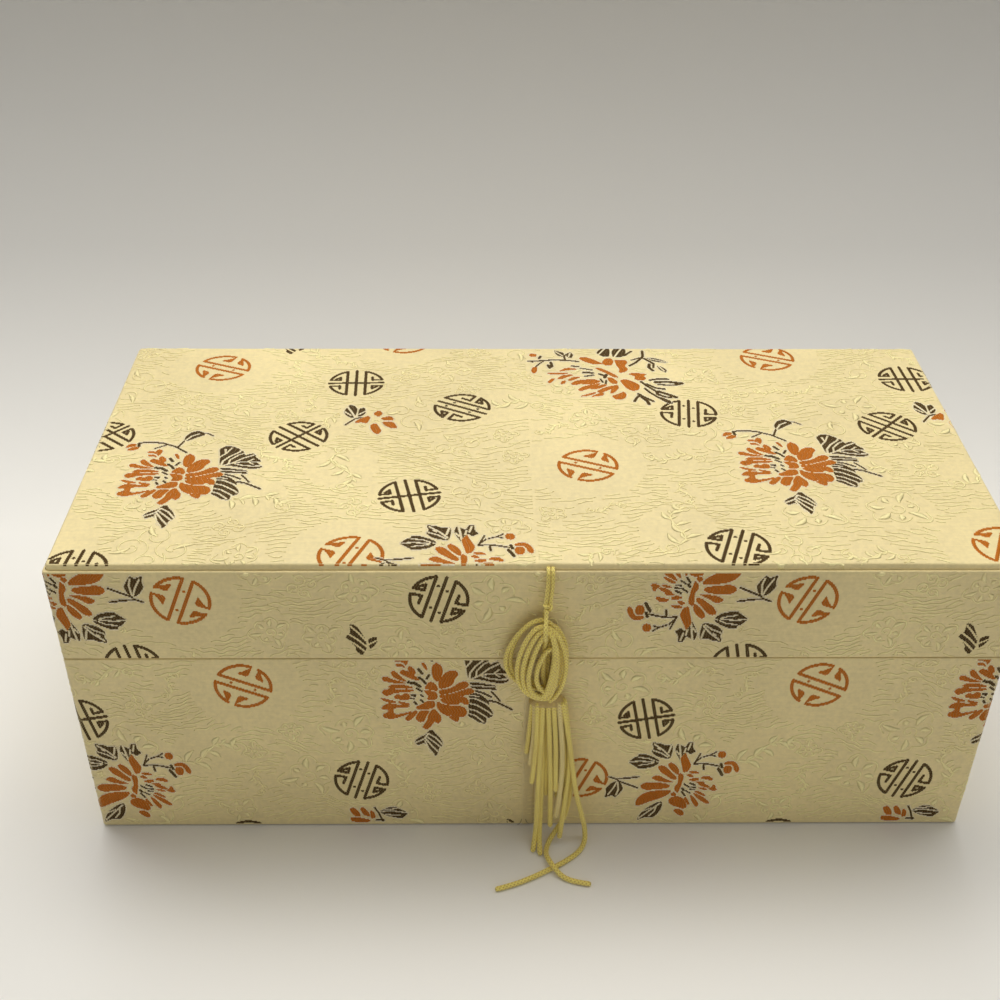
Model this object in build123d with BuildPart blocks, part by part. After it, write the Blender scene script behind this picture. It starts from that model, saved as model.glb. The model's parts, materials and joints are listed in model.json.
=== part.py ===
from build123d import *
from math import acos, cos, hypot, pi, radians, sin, sqrt, tan
import os

import numpy as np

# A brocade-covered keepsake box of card with a cloth-hinged lid and a cord tassel.
# Millimetres. X runs along the front, Y from front to back, Z up.
# The origin is the middle of the underside.

# Driving sizes of the box
box_width = 350.0
box_depth = 160.0
base_height = 91.0
lid_height = 40.7
rim_gap = 0.3

# Card and cloth
base_card = 3.0
lid_card = 2.5
brocade = 0.6
corner_radius = 1.5
fold_radius = 0.5
underside_sheet = 0.5
underside_margin = 3.0
turn_under = 15.0
turn_in = 13.0

# Padded cover card on top of the lid
top_panel_thickness = 2.4
top_panel_margin = 1.0
top_panel_edge_radius = 1.6

# Satin linings and pads
lining = 2.0
lip_height = 8.0
lip_gap = 0.6
lip_setback = 6.0
lip_edge_radius = 0.7
floor_pad_height = 8.0
ceiling_pad_height = 6.0
pad_gap = 0.4
pad_tuck = 2.0
pad_corner_radius = 5.0
pad_crown_inset = 24.0
pad_widest_share = 0.45
pad_side_steps = 3
pad_crown_steps = 5

# Cloth hinge along the back
hinge_leaf_height = 12.0
hinge_leaf_margin = 2.0
satin = 0.4

# Tassel cords
hanger_diameter = 1.5
hanger_spacing = 1.6
hanger_x = 4.2
wall_gap = 0.35
tail_length = 13.0
tail_setback = 0.7
tail_channel_gap = 0.1
knot_width = 3.7
knot_height = 3.9
knot_gap = 0.3
hank_cord = 1.8
hank_x = 2.4
hank_inner_half_width = 3.1
hank_pitch = 2.3
hank_layer_pitch = 2.4
hank_turns = 4
hank_top_height = 17.6
hank_bottom_height = 15.0
hank_side_bow = 1.2
hank_tail_reach = 3.8
hank_tail_radius = 2.5
hank_loop_gap = 0.3
neck_x = 4.5
neck_top = 76.5
neck_height = 3.5
neck_width = 14.4
neck_depth = 7.2
neck_edge_radius = 3.0
strand_diameter = 1.4

# Share of a run that a cord's arc may take, and the smallest arc of a limp cord
arc_run_share = 0.45
limp_radius_diameters = 3.0

# How closely the hank is sampled for its least gap, and how far apart along it two places are compared
samples_per_diameter = 4
apart_diameters = 3

# Degrees from a knot's middle to its top
quarter_turn = 90.0

# Heights and faces that follow from the sizes above
wrap_bottom = underside_sheet
floor_bottom = wrap_bottom + brocade
floor_top = floor_bottom + base_card
base_rim = base_height - brocade
lid_bottom = base_height + rim_gap
lid_card_bottom = lid_bottom + brocade
lid_rim = lid_bottom + lid_height
lid_card_top = lid_rim - brocade
lid_board_bottom = lid_card_top - lid_card
lid_lining_bottom = base_height + lip_height + lip_gap
box_front = -box_depth / 2
box_back = box_depth / 2


def footprint(inset, radius):
    """Rectangle of the box's plan, drawn in by inset, with rounded corners."""
    width = box_width - 2 * inset
    depth = box_depth - 2 * inset
    if radius > 0:
        RectangleRounded(width, depth, radius)
    else:
        Rectangle(width, depth)


def slab(inset, radius, low, high, mode=Mode.ADD):
    """Flat plate of the box's plan from one height to another."""
    with BuildSketch(Plane.XY.offset(low)) as plan:
        footprint(inset, radius)
    extrude(plan.sketch, amount=high - low, mode=mode)


def block(x_range, y_range, z_range, mode=Mode.ADD):
    """Square-edged board between pairs of faces."""
    with BuildSketch(Plane.XY.offset(z_range[0])) as plan:
        with Locations(((x_range[0] + x_range[1]) / 2, (y_range[0] + y_range[1]) / 2)):
            Rectangle(x_range[1] - x_range[0], y_range[1] - y_range[0])
    extrude(plan.sketch, amount=z_range[1] - z_range[0], mode=mode)


def finish(piece, name):
    """Label a piece and write it to its own file."""
    piece.part.label = name
    export_step(piece.part, "parts/" + name + ".step")


os.makedirs("parts", exist_ok=True)

# Base: the bottom board carries four wall boards
with BuildPart() as base_bottom_board:
    slab(brocade, corner_radius - brocade, floor_bottom, floor_top)
finish(base_bottom_board, "base_bottom_board")


def wall_boards(thickness, low, high, prefix):
    """Front and back boards run the full width; the side boards stand between them."""
    outer_x = box_width / 2 - brocade
    outer_y = box_depth / 2 - brocade
    for side, name in ((-1, "front"), (1, "back")):
        with BuildPart() as long_board:
            y_faces = sorted((side * outer_y, side * (outer_y - thickness)))
            block((-outer_x, outer_x), y_faces, (low, high))
            outer_edges = long_board.edges().filter_by(Axis.Z).group_by(Axis.Y)[0 if side < 0 else -1]
            fillet(outer_edges, corner_radius - brocade)
        finish(long_board, prefix + "_" + name + "_board")
    for side, name in ((-1, "left"), (1, "right")):
        with BuildPart() as side_board:
            x_faces = sorted((side * outer_x, side * (outer_x - thickness)))
            block(x_faces, (-(outer_y - thickness), outer_y - thickness), (low, high))
        finish(side_board, prefix + "_" + name + "_board")


wall_boards(base_card, floor_top, base_rim, "base")

# Brocade round the base: walls, a fold over the rim and a turn-in under the bottom
leaf_half_width = box_width / 2 - hinge_leaf_margin
leaf_faces = (box_back - brocade, box_back)
with BuildPart() as base_brocade_wrap:
    slab(0, corner_radius, wrap_bottom, base_height)
    long_folds = base_brocade_wrap.edges().filter_by(Axis.Z, reverse=True)
    fillet(long_folds, fold_radius)
    slab(brocade, corner_radius - brocade, floor_bottom, base_rim, Mode.SUBTRACT)
    slab(brocade + base_card, 0, base_rim, base_height, Mode.SUBTRACT)
    slab(turn_under, 0, wrap_bottom, floor_bottom, Mode.SUBTRACT)
    block(
        (-leaf_half_width, leaf_half_width), leaf_faces,
        (base_height - hinge_leaf_height, base_height), Mode.SUBTRACT,
    )
finish(base_brocade_wrap, "base_brocade_wrap")

# Paper sheet glued under the bottom, which the box stands on
with BuildPart() as base_underside_sheet:
    slab(underside_margin, 0, 0, wrap_bottom)
finish(base_underside_sheet, "base_underside_sheet")


def lining_card(name, x_range, y_range, z_range, lip_axis=None, setback=0):
    """Satin-covered card; where it has a lip, the lip's top edges are eased."""
    with BuildPart() as card:
        block(x_range, y_range, z_range)
        if setback:
            block(x_range, (y_range[1] - setback, y_range[1]), (base_height, z_range[1]), Mode.SUBTRACT)
        if lip_axis:
            fillet(card.edges().group_by(Axis.Z)[-1].filter_by(lip_axis), lip_edge_radius)
    finish(card, name)


# Base linings: front and sides stand up past the rim as the lip that the lid drops over
base_inner_x = box_width / 2 - brocade - base_card
base_inner_y = box_depth / 2 - brocade - base_card
lip_top = base_height + lip_height
lining_card(
    "base_lining_front", (-base_inner_x, base_inner_x),
    (-base_inner_y, -base_inner_y + lining), (floor_top, lip_top), Axis.X,
)
lining_card(
    "base_lining_back", (-base_inner_x, base_inner_x),
    (base_inner_y - lining, base_inner_y), (floor_top, base_height),
)
for side, name in ((-1, "left"), (1, "right")):
    lining_card(
        "base_lining_" + name, sorted((side * base_inner_x, side * (base_inner_x - lining))),
        (-base_inner_y + lining, base_inner_y - lining), (floor_top, lip_top), Axis.Y, lip_setback,
    )


def padded_card(name, half_width, half_depth, seat, height):
    """Cushion with tucked sides and a crown: a ruled loft through rounded outlines.
    In section the side is a quarter ellipse from the seat out to the widest line,
    and the crown is one from there in to the flat middle. A negative height hangs it from a ceiling."""
    side_turns = [pi / 2 * step / pad_side_steps for step in range(pad_side_steps)]
    crown_turns = [pi / 2 * step / pad_crown_steps for step in range(pad_crown_steps + 1)]
    outlines = [
        (pad_widest_share * (1 - cos(turn)), pad_tuck * (1 - sin(turn))) for turn in side_turns
    ] + [
        (pad_widest_share + (1 - pad_widest_share) * sin(turn), pad_crown_inset * (1 - cos(turn)))
        for turn in crown_turns
    ]
    with BuildPart() as pad:
        for height_share, inset in outlines:
            with BuildSketch(Plane.XY.offset(seat + height * height_share)):
                RectangleRounded(
                    2 * (half_width - inset), 2 * (half_depth - inset), pad_corner_radius + inset / 2,
                )
        loft(ruled=True)
    finish(pad, name)


padded_card(
    "base_floor_pad", base_inner_x - lining - pad_gap, base_inner_y - lining - pad_gap,
    floor_top, floor_pad_height,
)

# Lid: four wall boards carry the top board
wall_boards(lid_card, lid_card_bottom, lid_board_bottom, "lid")
with BuildPart() as lid_top_board:
    slab(brocade, corner_radius - brocade, lid_board_bottom, lid_card_top)
finish(lid_top_board, "lid_top_board")

# Brocade round the lid, folded in over the top and over the lower rim
with BuildPart() as lid_brocade_wrap:
    slab(0, corner_radius, lid_bottom, lid_rim)
    long_folds = lid_brocade_wrap.edges().filter_by(Axis.Z, reverse=True)
    fillet(long_folds, fold_radius)
    slab(brocade, corner_radius - brocade, lid_card_bottom, lid_card_top, Mode.SUBTRACT)
    slab(brocade + lid_card, 0, lid_bottom, lid_card_bottom, Mode.SUBTRACT)
    slab(turn_in, 0, lid_card_top, lid_rim, Mode.SUBTRACT)
    block(
        (-leaf_half_width, leaf_half_width), leaf_faces,
        (lid_bottom, lid_bottom + hinge_leaf_height), Mode.SUBTRACT,
    )
finish(lid_brocade_wrap, "lid_brocade_wrap")

tail_radius = hanger_diameter / 2

# Padded brocade panel glued on the lid, with a channel for the tassel's two cords
channel_width = hanger_spacing + hanger_diameter + 2 * tail_channel_gap
channel_end = box_front + tail_length
with BuildPart() as lid_top_panel:
    slab(top_panel_margin, corner_radius, lid_rim, lid_rim + top_panel_thickness)
    fillet(lid_top_panel.edges().group_by(Axis.Z)[-1], top_panel_edge_radius)
    block(
        (hanger_x - channel_width / 2, hanger_x + channel_width / 2),
        (box_front, channel_end + tail_channel_gap),
        (lid_rim, lid_rim + hanger_diameter + tail_channel_gap), Mode.SUBTRACT,
    )
finish(lid_top_panel, "lid_top_panel")

# Lid linings hang above the lip
lid_inner_x = box_width / 2 - brocade - lid_card
lid_inner_y = box_depth / 2 - brocade - lid_card
lining_card(
    "lid_lining_front", (-lid_inner_x, lid_inner_x),
    (-lid_inner_y, -lid_inner_y + lining), (lid_lining_bottom, lid_board_bottom),
)
lining_card(
    "lid_lining_back", (-lid_inner_x, lid_inner_x),
    (lid_inner_y - lining, lid_inner_y), (lid_card_bottom, lid_board_bottom),
)
for side, name in ((-1, "left"), (1, "right")):
    lining_card(
        "lid_lining_" + name, sorted((side * lid_inner_x, side * (lid_inner_x - lining))),
        (-lid_inner_y + lining, lid_inner_y - lining), (lid_lining_bottom, lid_board_bottom),
    )
padded_card(
    "lid_ceiling_pad", lid_inner_x - lining - pad_gap, lid_inner_y - lining - pad_gap,
    lid_board_bottom, -ceiling_pad_height,
)

# Cloth hinge: a brocade leaf outside and a satin leaf inside, on the base and on the lid
satin_half_width = base_inner_x - lining - pad_gap
hinge_leaves = (
    (
        "hinge_brocade_base_leaf", leaf_half_width, leaf_faces,
        base_height - hinge_leaf_height, base_height,
    ),
    (
        "hinge_brocade_lid_leaf", leaf_half_width, leaf_faces,
        lid_bottom, lid_bottom + hinge_leaf_height,
    ),
    (
        "hinge_satin_base_leaf", satin_half_width,
        (base_inner_y - lining - satin, base_inner_y - lining),
        base_height - hinge_leaf_height, base_height,
    ),
    (
        "hinge_satin_lid_leaf", satin_half_width,
        (lid_inner_y - lining - satin, lid_inner_y - lining),
        lid_card_bottom, lid_bottom + hinge_leaf_height,
    ),
)
for name, half_width, y_faces, low, high in hinge_leaves:
    with BuildPart() as leaf:
        block((-half_width, half_width), y_faces, (low, high))
    finish(leaf, name)

# Hank: one cord wound in two flat layers, inwards in the front one and outwards in the back one.
# Each turn is four quarter turns, and each quarter is a tight arc over the tip
# and a wide arc along the side, all drawn about the same centres.
pivot_y = box_front - wall_gap - tail_radius
bundle_depth = (hank_layer_pitch + hank_cord) / 2
loop_radius = bundle_depth + hank_loop_gap + tail_radius
hank_y = pivot_y - loop_radius
hank_front = hank_y - hank_layer_pitch / 2
hank_rear = hank_y + hank_layer_pitch / 2
hank_outer_half_width = hank_inner_half_width + hank_turns * hank_pitch


def side_radius(half_width, half_height):
    """Radius of the wide arc that meets the tip's arc and passes the side upright."""
    tip = half_width - hank_side_bow
    rise = half_height - tip
    return (half_width**2 + rise**2 - tip**2) / (2 * hank_side_bow)


# Quadrants of a turn in the order that the cord takes them, with its heading at each start
quadrants = ((1, 1), (-1, 1), (-1, -1), (1, -1))
headings = ((0, 1), (-1, 0), (0, -1), (1, 0))
quarter_pitch = hank_pitch / len(quadrants)
tail_side_radius = side_radius(hank_outer_half_width, hank_bottom_height + quarter_pitch)
tail_turn = acos(
    1 - (hank_outer_half_width - hank_tail_reach) / (tail_side_radius + hank_tail_radius)
)
tail_drop = (tail_side_radius + hank_tail_radius) * sin(tail_turn) + hank_cord
hank_z = neck_top + tail_drop
steps = list(range(len(quadrants) * hank_turns + 1))
climb_height = hank_top_height - quarter_pitch * len(steps)

# The loop of hanger cord goes round the hank's top bundle and through its middle
loop_sag = loop_radius - sqrt(loop_radius**2 - bundle_depth**2)
loop_top = hank_z + hank_top_height + hank_cord / 2 + hank_loop_gap + tail_radius + loop_sag
loop_bottom = hank_z + climb_height - hank_cord / 2 - hank_loop_gap - tail_radius - loop_sag

# Tassel cords' fixed ends lie on the rim in the panel's channel,
# set back from its edge so that the hanging cords can turn up and over
cord_height = lid_rim + tail_channel_gap / 2 + tail_radius
pair_x = (hanger_x - hanger_spacing / 2, hanger_x + hanger_spacing / 2)
with BuildPart() as tassel_tail_cords:
    with BuildSketch(Plane.XZ.offset(-channel_end)):
        with Locations((pair_x[0], cord_height), (pair_x[1], cord_height)):
            Circle(tail_radius)
    extrude(amount=tail_length - tail_setback)
finish(tassel_tail_cords, "tassel_tail_cords")

# Hanging pair of cords, from the rim down to the knot, with round upper ends
knot_y = hank_y
knot_x = (hanger_x + hank_x) / 2
knot_top = loop_top + tail_radius + knot_gap + knot_height
with BuildPart() as hanger_cords:
    for x in pair_x:
        top = Vector(x, pivot_y, cord_height)
        down = Vector(knot_x - hanger_x, knot_y - pivot_y, knot_top - cord_height)
        with BuildSketch(Plane(origin=top, z_dir=down)):
            Circle(tail_radius)
        extrude(amount=down.length)
        with Locations(top):
            Sphere(tail_radius)
finish(hanger_cords, "hanger_cords")

# Small round knot that gathers the pair
with BuildPart() as hanger_knot:
    with BuildSketch(Plane.XZ.offset(-knot_y)):
        with BuildLine():
            middle = (knot_x, knot_top - knot_height / 2)
            bulge = EllipticalCenterArc(
                middle, knot_width / 2, knot_height / 2,
                start_angle=-quarter_turn, arc_size=2 * quarter_turn,
            )
            Line(bulge @ 1, bulge @ 0)
        make_face()
    revolve(axis=Axis((knot_x, knot_y, 0), (0, 0, 1)))
finish(hanger_knot, "hanger_knot")


def tube(points, diameter, name, radii_log):
    """Solid cord along straight runs joined by arcs as large as the runs allow."""
    spots = [Vector(*point) for point in points]
    runs = [b - a for a, b in zip(spots, spots[1:])]
    radii = []
    for before, after in zip(runs, runs[1:]):
        half_turn = radians(before.get_angle(after)) / 2
        shorter = min(before.length, after.length)
        radii.append(arc_run_share * shorter / tan(half_turn))
    radii_log.append((name, min(radii) / diameter))
    with BuildLine() as path:
        FilletPolyline(*spots, radius=radii)
    with BuildSketch(Plane(origin=spots[0], z_dir=runs[0])) as section:
        Circle(diameter / 2)
    sweep(section.sketch, path=path.wires()[0])
    return path.wires()[0].length


def quarter(plane, index, half_width, half_height):
    """Quarter turn in a plane, from a side point to a tip or from a tip to a side point."""
    across, upward = quadrants[index]
    tip = half_width - hank_side_bow
    tip_centre = Vector(0, half_height - tip)
    side_centre = Vector(half_width - side_radius(half_width, half_height), 0)
    meet = tip_centre + (tip_centre - side_centre).normalized() * tip
    spots = [Vector(half_width, 0), meet, Vector(0, half_height)]
    if index % 2:
        spots.reverse()
    spots = [plane.from_local_coords(Vector(s.X * across, s.Y * upward)) for s in spots]
    heading = plane.from_local_coords(Vector(*headings[index])) - plane.origin
    first = TangentArc(spots[0], spots[1], tangent=heading)
    TangentArc(spots[1], spots[2], tangent=first % 1)


def spiral(plane, first_index, shrink_steps):
    """Turns in a plane; each step says how many quarter pitches the cord has come inwards."""
    for count, (here, there) in enumerate(zip(shrink_steps, shrink_steps[1:])):
        index = (first_index + count) % len(quadrants)
        side_step, tip_step = (there, here) if index % 2 else (here, there)
        height = hank_top_height if quadrants[index][1] > 0 else hank_bottom_height
        quarter(
            plane, index, hank_outer_half_width - quarter_pitch * side_step,
            height - quarter_pitch * tip_step,
        )


def hank_plane(y, x_dir):
    """Upright plane through the hank's middle, seen from the front."""
    return Plane(origin=(hank_x, y, hank_z), x_dir=x_dir, z_dir=Vector(x_dir).cross(Vector(0, 0, 1)))


front_plane = hank_plane(hank_front, (1, 0, 0))
rear_plane = hank_plane(hank_rear, (1, 0, 0))
climb_plane = hank_plane(hank_y, (2 * hank_inner_half_width, hank_front - hank_rear, 0))
climb_half_width = hypot(hank_inner_half_width, hank_layer_pitch / 2)
tail_bend = Vector(
    hank_tail_reach + hank_tail_radius * (1 - cos(tail_turn)),
    hank_cord - tail_drop + hank_tail_radius * sin(tail_turn),
)
tail_spots = (
    Vector(hank_tail_reach, -tail_drop), Vector(hank_tail_reach, hank_cord - tail_drop),
    tail_bend, Vector(hank_outer_half_width, 0),
)
with BuildPart() as hank:
    with BuildLine() as hank_route:
        rise = [front_plane.from_local_coords(spot) for spot in tail_spots]
        Line(rise[0], rise[1])
        outward = TangentArc(rise[1], rise[2], tangent=(0, 0, 1))
        TangentArc(rise[2], rise[3], tangent=outward % 1)
        spiral(front_plane, 0, steps)
        quarter(climb_plane, 0, climb_half_width, climb_height)
        quarter(climb_plane, 1, climb_half_width, climb_height)
        spiral(rear_plane, 2, steps[::-1])
        fall = [rear_plane.from_local_coords(Vector(-spot.X, spot.Y)) for spot in tail_spots]
        inward = TangentArc(fall[3], fall[2], tangent=(0, 0, -1))
        TangentArc(fall[2], fall[1], tangent=inward % 1)
        Line(fall[1], fall[0])
    with BuildSketch(Plane(origin=rise[0], z_dir=(0, 0, 1))):
        Circle(hank_cord / 2)
    sweep(path=hank_route.wires()[0])
finish(hank, "hank")


def least_gap(wire, diameter):
    """Least clear space between stretches of a cord that lie apart along it."""
    count = round(wire.length / diameter * samples_per_diameter)
    spots = np.array([tuple(wire @ (step / count)) for step in range(count + 1)])
    apart = apart_diameters * samples_per_diameter
    nearest = min(
        np.linalg.norm(spots[index + apart:] - spot, axis=1).min()
        for index, spot in enumerate(spots[:-apart])
    )
    return nearest - diameter


hank_wire = hank_route.wires()[0]
print("hank cord length", round(hank_wire.length, 1))
print("hank least gap", round(least_gap(hank_wire, hank_cord), 2))

# Loop of hanger cord, upright from front to back
with BuildPart() as hank_loop:
    with BuildLine() as loop_route:
        rear_line = Line(
            (hank_x, hank_y + loop_radius, loop_bottom + loop_radius),
            (hank_x, hank_y + loop_radius, loop_top - loop_radius),
        )
        front_top = (hank_x, hank_y - loop_radius, loop_top - loop_radius)
        over = TangentArc(rear_line @ 1, front_top, tangent=(0, 0, 1))
        front_line = Line(over @ 1, (hank_x, hank_y - loop_radius, loop_bottom + loop_radius))
        TangentArc(front_line @ 1, rear_line @ 0, tangent=(0, 0, -1))
    with BuildSketch(Plane(origin=rear_line @ 0, z_dir=(0, 0, 1))):
        Circle(tail_radius)
    sweep(path=loop_route.wires()[0])
finish(hank_loop, "hank_loop")

# Binding that gathers the hank's ends and the fringe
neck_bottom = neck_top - neck_height
with BuildPart() as neck_binding:
    with BuildSketch(Plane.XY.offset(neck_bottom)):
        with Locations((neck_x, hank_y)):
            RectangleRounded(neck_width, neck_depth, neck_edge_radius)
    extrude(amount=neck_height)
finish(neck_binding, "neck_binding")

# Fringe: each strand's route from the binding downwards
strand_top = 72.85
fringe_routes = (
    ((-1.0, -82.6, strand_top), (-1.4, -83.1, 64.5), (-2.0, -83.6, 54.0), (-2.9, -83.9, 45.6)),
    ((-0.2, -84.5, strand_top), (0.1, -84.9, 61.5), (-0.6, -85.6, 50.0), (-1.5, -85.8, 41.0)),
    ((0.6, -86.3, strand_top), (0.8, -86.9, 59.0), (0.1, -87.3, 44.5), (-0.8, -87.1, 32.3)),
    ((3.8, -84.4, strand_top), (4.6, -84.7, 57.0), (5.0, -85.2, 40.0), (5.0, -85.3, 23.7)),
    (
        (4.6, -86.3, strand_top), (5.6, -86.9, 56.0), (6.4, -87.3, 38.0), (6.9, -87.5, 22.0),
        (7.1, -87.5, 7.8),
    ),
    ((5.6, -84.4, strand_top), (6.6, -84.9, 57.0), (7.2, -85.5, 40.0), (7.6, -85.6, 23.5)),
    ((7.4, -84.4, strand_top), (8.4, -85.0, 56.5), (9.1, -85.3, 39.0), (9.6, -85.3, 22.3)),
    ((6.6, -86.3, strand_top), (7.9, -86.9, 58.0), (8.4, -87.5, 43.0), (8.7, -87.5, 28.2)),
    (
        (8.6, -86.3, strand_top), (10.3, -87.1, 58.0), (10.9, -87.6, 41.0), (10.4, -87.9, 26.0),
        (9.2, -88.0, 13.8),
    ),
    ((9.3, -84.4, strand_top), (11.0, -85.0, 57.0), (12.0, -85.5, 39.0), (12.4, -85.5, 22.5)),
    ((6.8, -82.6, strand_top), (9.6, -83.0, 59.0), (12.2, -83.6, 43.5), (12.8, -83.8, 28.5)),
    (
        (11.0, -84.4, strand_top), (13.2, -85.2, 57.0), (13.8, -86.3, 41.0), (12.9, -87.3, 27.0),
        (11.9, -88.4, 14.5), (10.9, -89.4, 3.0),
    ),
    ((3.0, -82.6, strand_top), (3.6, -82.9, 58.0), (4.3, -83.3, 42.5), (4.6, -83.5, 29.0)),
    ((4.9, -82.6, strand_top), (6.0, -82.9, 57.5), (7.0, -83.4, 42.0), (8.2, -83.5, 28.5)),
)
long_routes = {
    "pair_strand_left": (
        (2.6, -86.3, strand_top), (2.5, -87.0, 58.0), (1.9, -87.5, 40.0), (1.7, -87.7, 24.0),
        (1.6, -88.3, 11.5), (1.0, -90.0, 3.4), (0.1, -94.9, 0.75),
    ),
    "pair_strand_right": (
        (1.8, -84.4, strand_top), (2.9, -85.3, 58.0), (3.4, -85.9, 40.0), (3.2, -86.3, 24.0),
        (3.0, -87.2, 11.0), (2.7, -90.2, 3.4), (3.0, -96.6, 0.75),
    ),
    "long_strand_left": (
        (10.4, -86.3, strand_top), (13.0, -87.0, 57.0), (14.9, -87.5, 41.0), (16.8, -87.7, 27.0),
        (19.4, -87.3, 15.0), (21.3, -86.9, 6.0), (21.3, -90.3, 1.1), (18.4, -95.4, 0.75),
        (13.1, -99.7, 0.75), (7.0, -103.4, 0.75), (0.0, -107.4, 0.75), (-8.0, -111.2, 0.75),
        (-15.0, -113.3, 0.75),
    ),
    "long_strand_right": (
        (8.6, -82.6, strand_top), (12.2, -82.8, 57.0), (14.7, -83.6, 42.0), (15.0, -84.4, 29.0),
        (14.2, -85.3, 18.0), (12.2, -86.3, 9.5), (9.2, -87.0, 4.0), (6.3, -90.4, 1.1),
        (5.1, -95.5, 0.9), (6.0, -100.4, 2.5), (8.4, -105.0, 2.5), (11.6, -107.8, 0.9),
        (16.9, -110.0, 0.75), (22.3, -110.9, 0.75),
    ),
}
radii_log = []
strand_section = pi * strand_diameter**2 / 4
with BuildPart() as fringe_strands:
    fringe_lengths = [tube(points, strand_diameter, "fringe", radii_log) for points in fringe_routes]
finish(fringe_strands, "fringe_strands")
fringe_volume = strand_section * sum(fringe_lengths)
print("fringe volume share", round(fringe_strands.part.volume / fringe_volume, 4))
for name, points in long_routes.items():
    with BuildPart() as strand:
        length = tube(points, strand_diameter, name, radii_log)
    finish(strand, name)
    print(name, "length", round(length, 1))
    print(name, "volume share", round(strand.part.volume / (strand_section * length), 4))
for name, share in radii_log:
    print(name, "tightest arc in diameters", round(share, 1), "least allowed", limp_radius_diameters)
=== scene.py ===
import json
from collections import namedtuple
from math import acos, cos, degrees, pi, radians, sin

import bpy
import numpy as np
from bpy.props import FloatProperty, FloatVectorProperty, IntProperty, PointerProperty
from mathutils import Matrix, Vector


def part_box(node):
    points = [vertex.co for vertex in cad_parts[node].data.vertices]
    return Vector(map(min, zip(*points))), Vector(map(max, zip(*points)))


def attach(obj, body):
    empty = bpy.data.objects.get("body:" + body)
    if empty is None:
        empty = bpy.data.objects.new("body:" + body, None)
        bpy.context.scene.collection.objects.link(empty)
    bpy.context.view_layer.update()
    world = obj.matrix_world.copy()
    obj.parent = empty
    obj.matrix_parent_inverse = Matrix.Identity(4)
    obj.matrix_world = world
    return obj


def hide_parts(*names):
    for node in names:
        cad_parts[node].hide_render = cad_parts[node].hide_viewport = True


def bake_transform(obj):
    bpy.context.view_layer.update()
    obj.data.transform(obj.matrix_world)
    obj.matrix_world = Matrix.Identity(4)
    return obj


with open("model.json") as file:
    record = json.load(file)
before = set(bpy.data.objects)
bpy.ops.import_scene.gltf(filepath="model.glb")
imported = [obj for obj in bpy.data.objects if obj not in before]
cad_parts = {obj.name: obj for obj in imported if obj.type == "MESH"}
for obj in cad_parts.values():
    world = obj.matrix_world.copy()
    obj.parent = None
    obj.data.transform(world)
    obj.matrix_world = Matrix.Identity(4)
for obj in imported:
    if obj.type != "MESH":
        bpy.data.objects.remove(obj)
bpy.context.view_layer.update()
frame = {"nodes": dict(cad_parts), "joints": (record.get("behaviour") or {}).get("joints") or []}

bl_info = {
    "name": "Brocade keepsake box",
    "version": (1, 0, 0),
    "blender": (4, 5, 0),
    "location": "View3D > Sidebar > Brocade Box",
    "description": "Dresses a hinged keepsake box in figured brocade, with a cord tassel",
    "category": "Object",
}

MM = 0.001

# Places read from the frame, in metres
BASE_LOW, BASE_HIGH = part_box("base_brocade_wrap")
LID_LOW, LID_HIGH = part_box("lid_brocade_wrap")
PANEL_LOW, PANEL_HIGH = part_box("lid_top_panel")
NECK_LOW, NECK_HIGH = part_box("neck_binding")
KNOT_LOW, KNOT_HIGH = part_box("hanger_knot")
LOOP_LOW, LOOP_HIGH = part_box("hank_loop")
HALF_WIDTH, HALF_DEPTH = BASE_HIGH[:2]
HINGE_HEIGHT = (BASE_HIGH[2] + LID_LOW[2]) / 2
RIM = np.array(next(joint["pos_m"] for joint in frame["joints"] if joint["name"] == "tassel_swing"))


# Sizes and colours that a user would change

def length(name, description, default):
    """Length property in metres."""
    return FloatProperty(name=name, description=description, default=default, min=0, unit="LENGTH", precision=5)


def colour(name, description, default):
    """Colour property, given as display values from 0 to 255."""
    shades = [((c / 255 + 0.055) / 1.055) ** 2.4 if c > 10 else c / 255 / 12.92 for c in default]
    return FloatVectorProperty(
        name=name, description=description, default=(*shades, 1), size=4, min=0, max=1, subtype="COLOR",
    )


class ClothSizes(bpy.types.PropertyGroup):
    """Sizes of the brocade and its woven figures."""

    pick: length("Pick", "Distance between two figuring picks", 0.5 * MM)
    figure_lift: length("Figure lift", "How far a figuring thread stands proud", 0.12 * MM)
    float_lift: length("Float lift", "How far a damask float stands proud", 0.2 * MM)
    float_width: length("Float width", "Width of a damask float", 1.0 * MM)
    halo: length("Halo", "Width of the pale edge round petals and leaves", 0.5 * MM)
    swell: length("Swell", "How far a petal or leaf grows beyond its drawn outline", 0.26 * MM)
    base_repeat: length("Base repeat", "Distance between two like figures on the base", 217.0 * MM)
    lid_repeat: length("Lid repeat", "Distance between two like figures on the lid", 224.8 * MM)
    corner: length("Corner", "Radius of the box's upright corners", 1.5 * MM)


class CordSizes(bpy.types.PropertyGroup):
    """Sizes of the tassel's cords."""

    hanger: length("Hanger", "Diameter of the hanging cord", 1.5 * MM)
    hank: length("Hank cord", "Diameter of the hank's cord", 1.8 * MM)
    strand: length("Strand", "Diameter of a fringe strand", 2.05 * MM)
    binding: length("Binding", "Diameter of the neck's binding thread", 0.45 * MM)
    around: IntProperty(name="Around", description="Faces round a cord", default=14, min=6, max=32)


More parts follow.
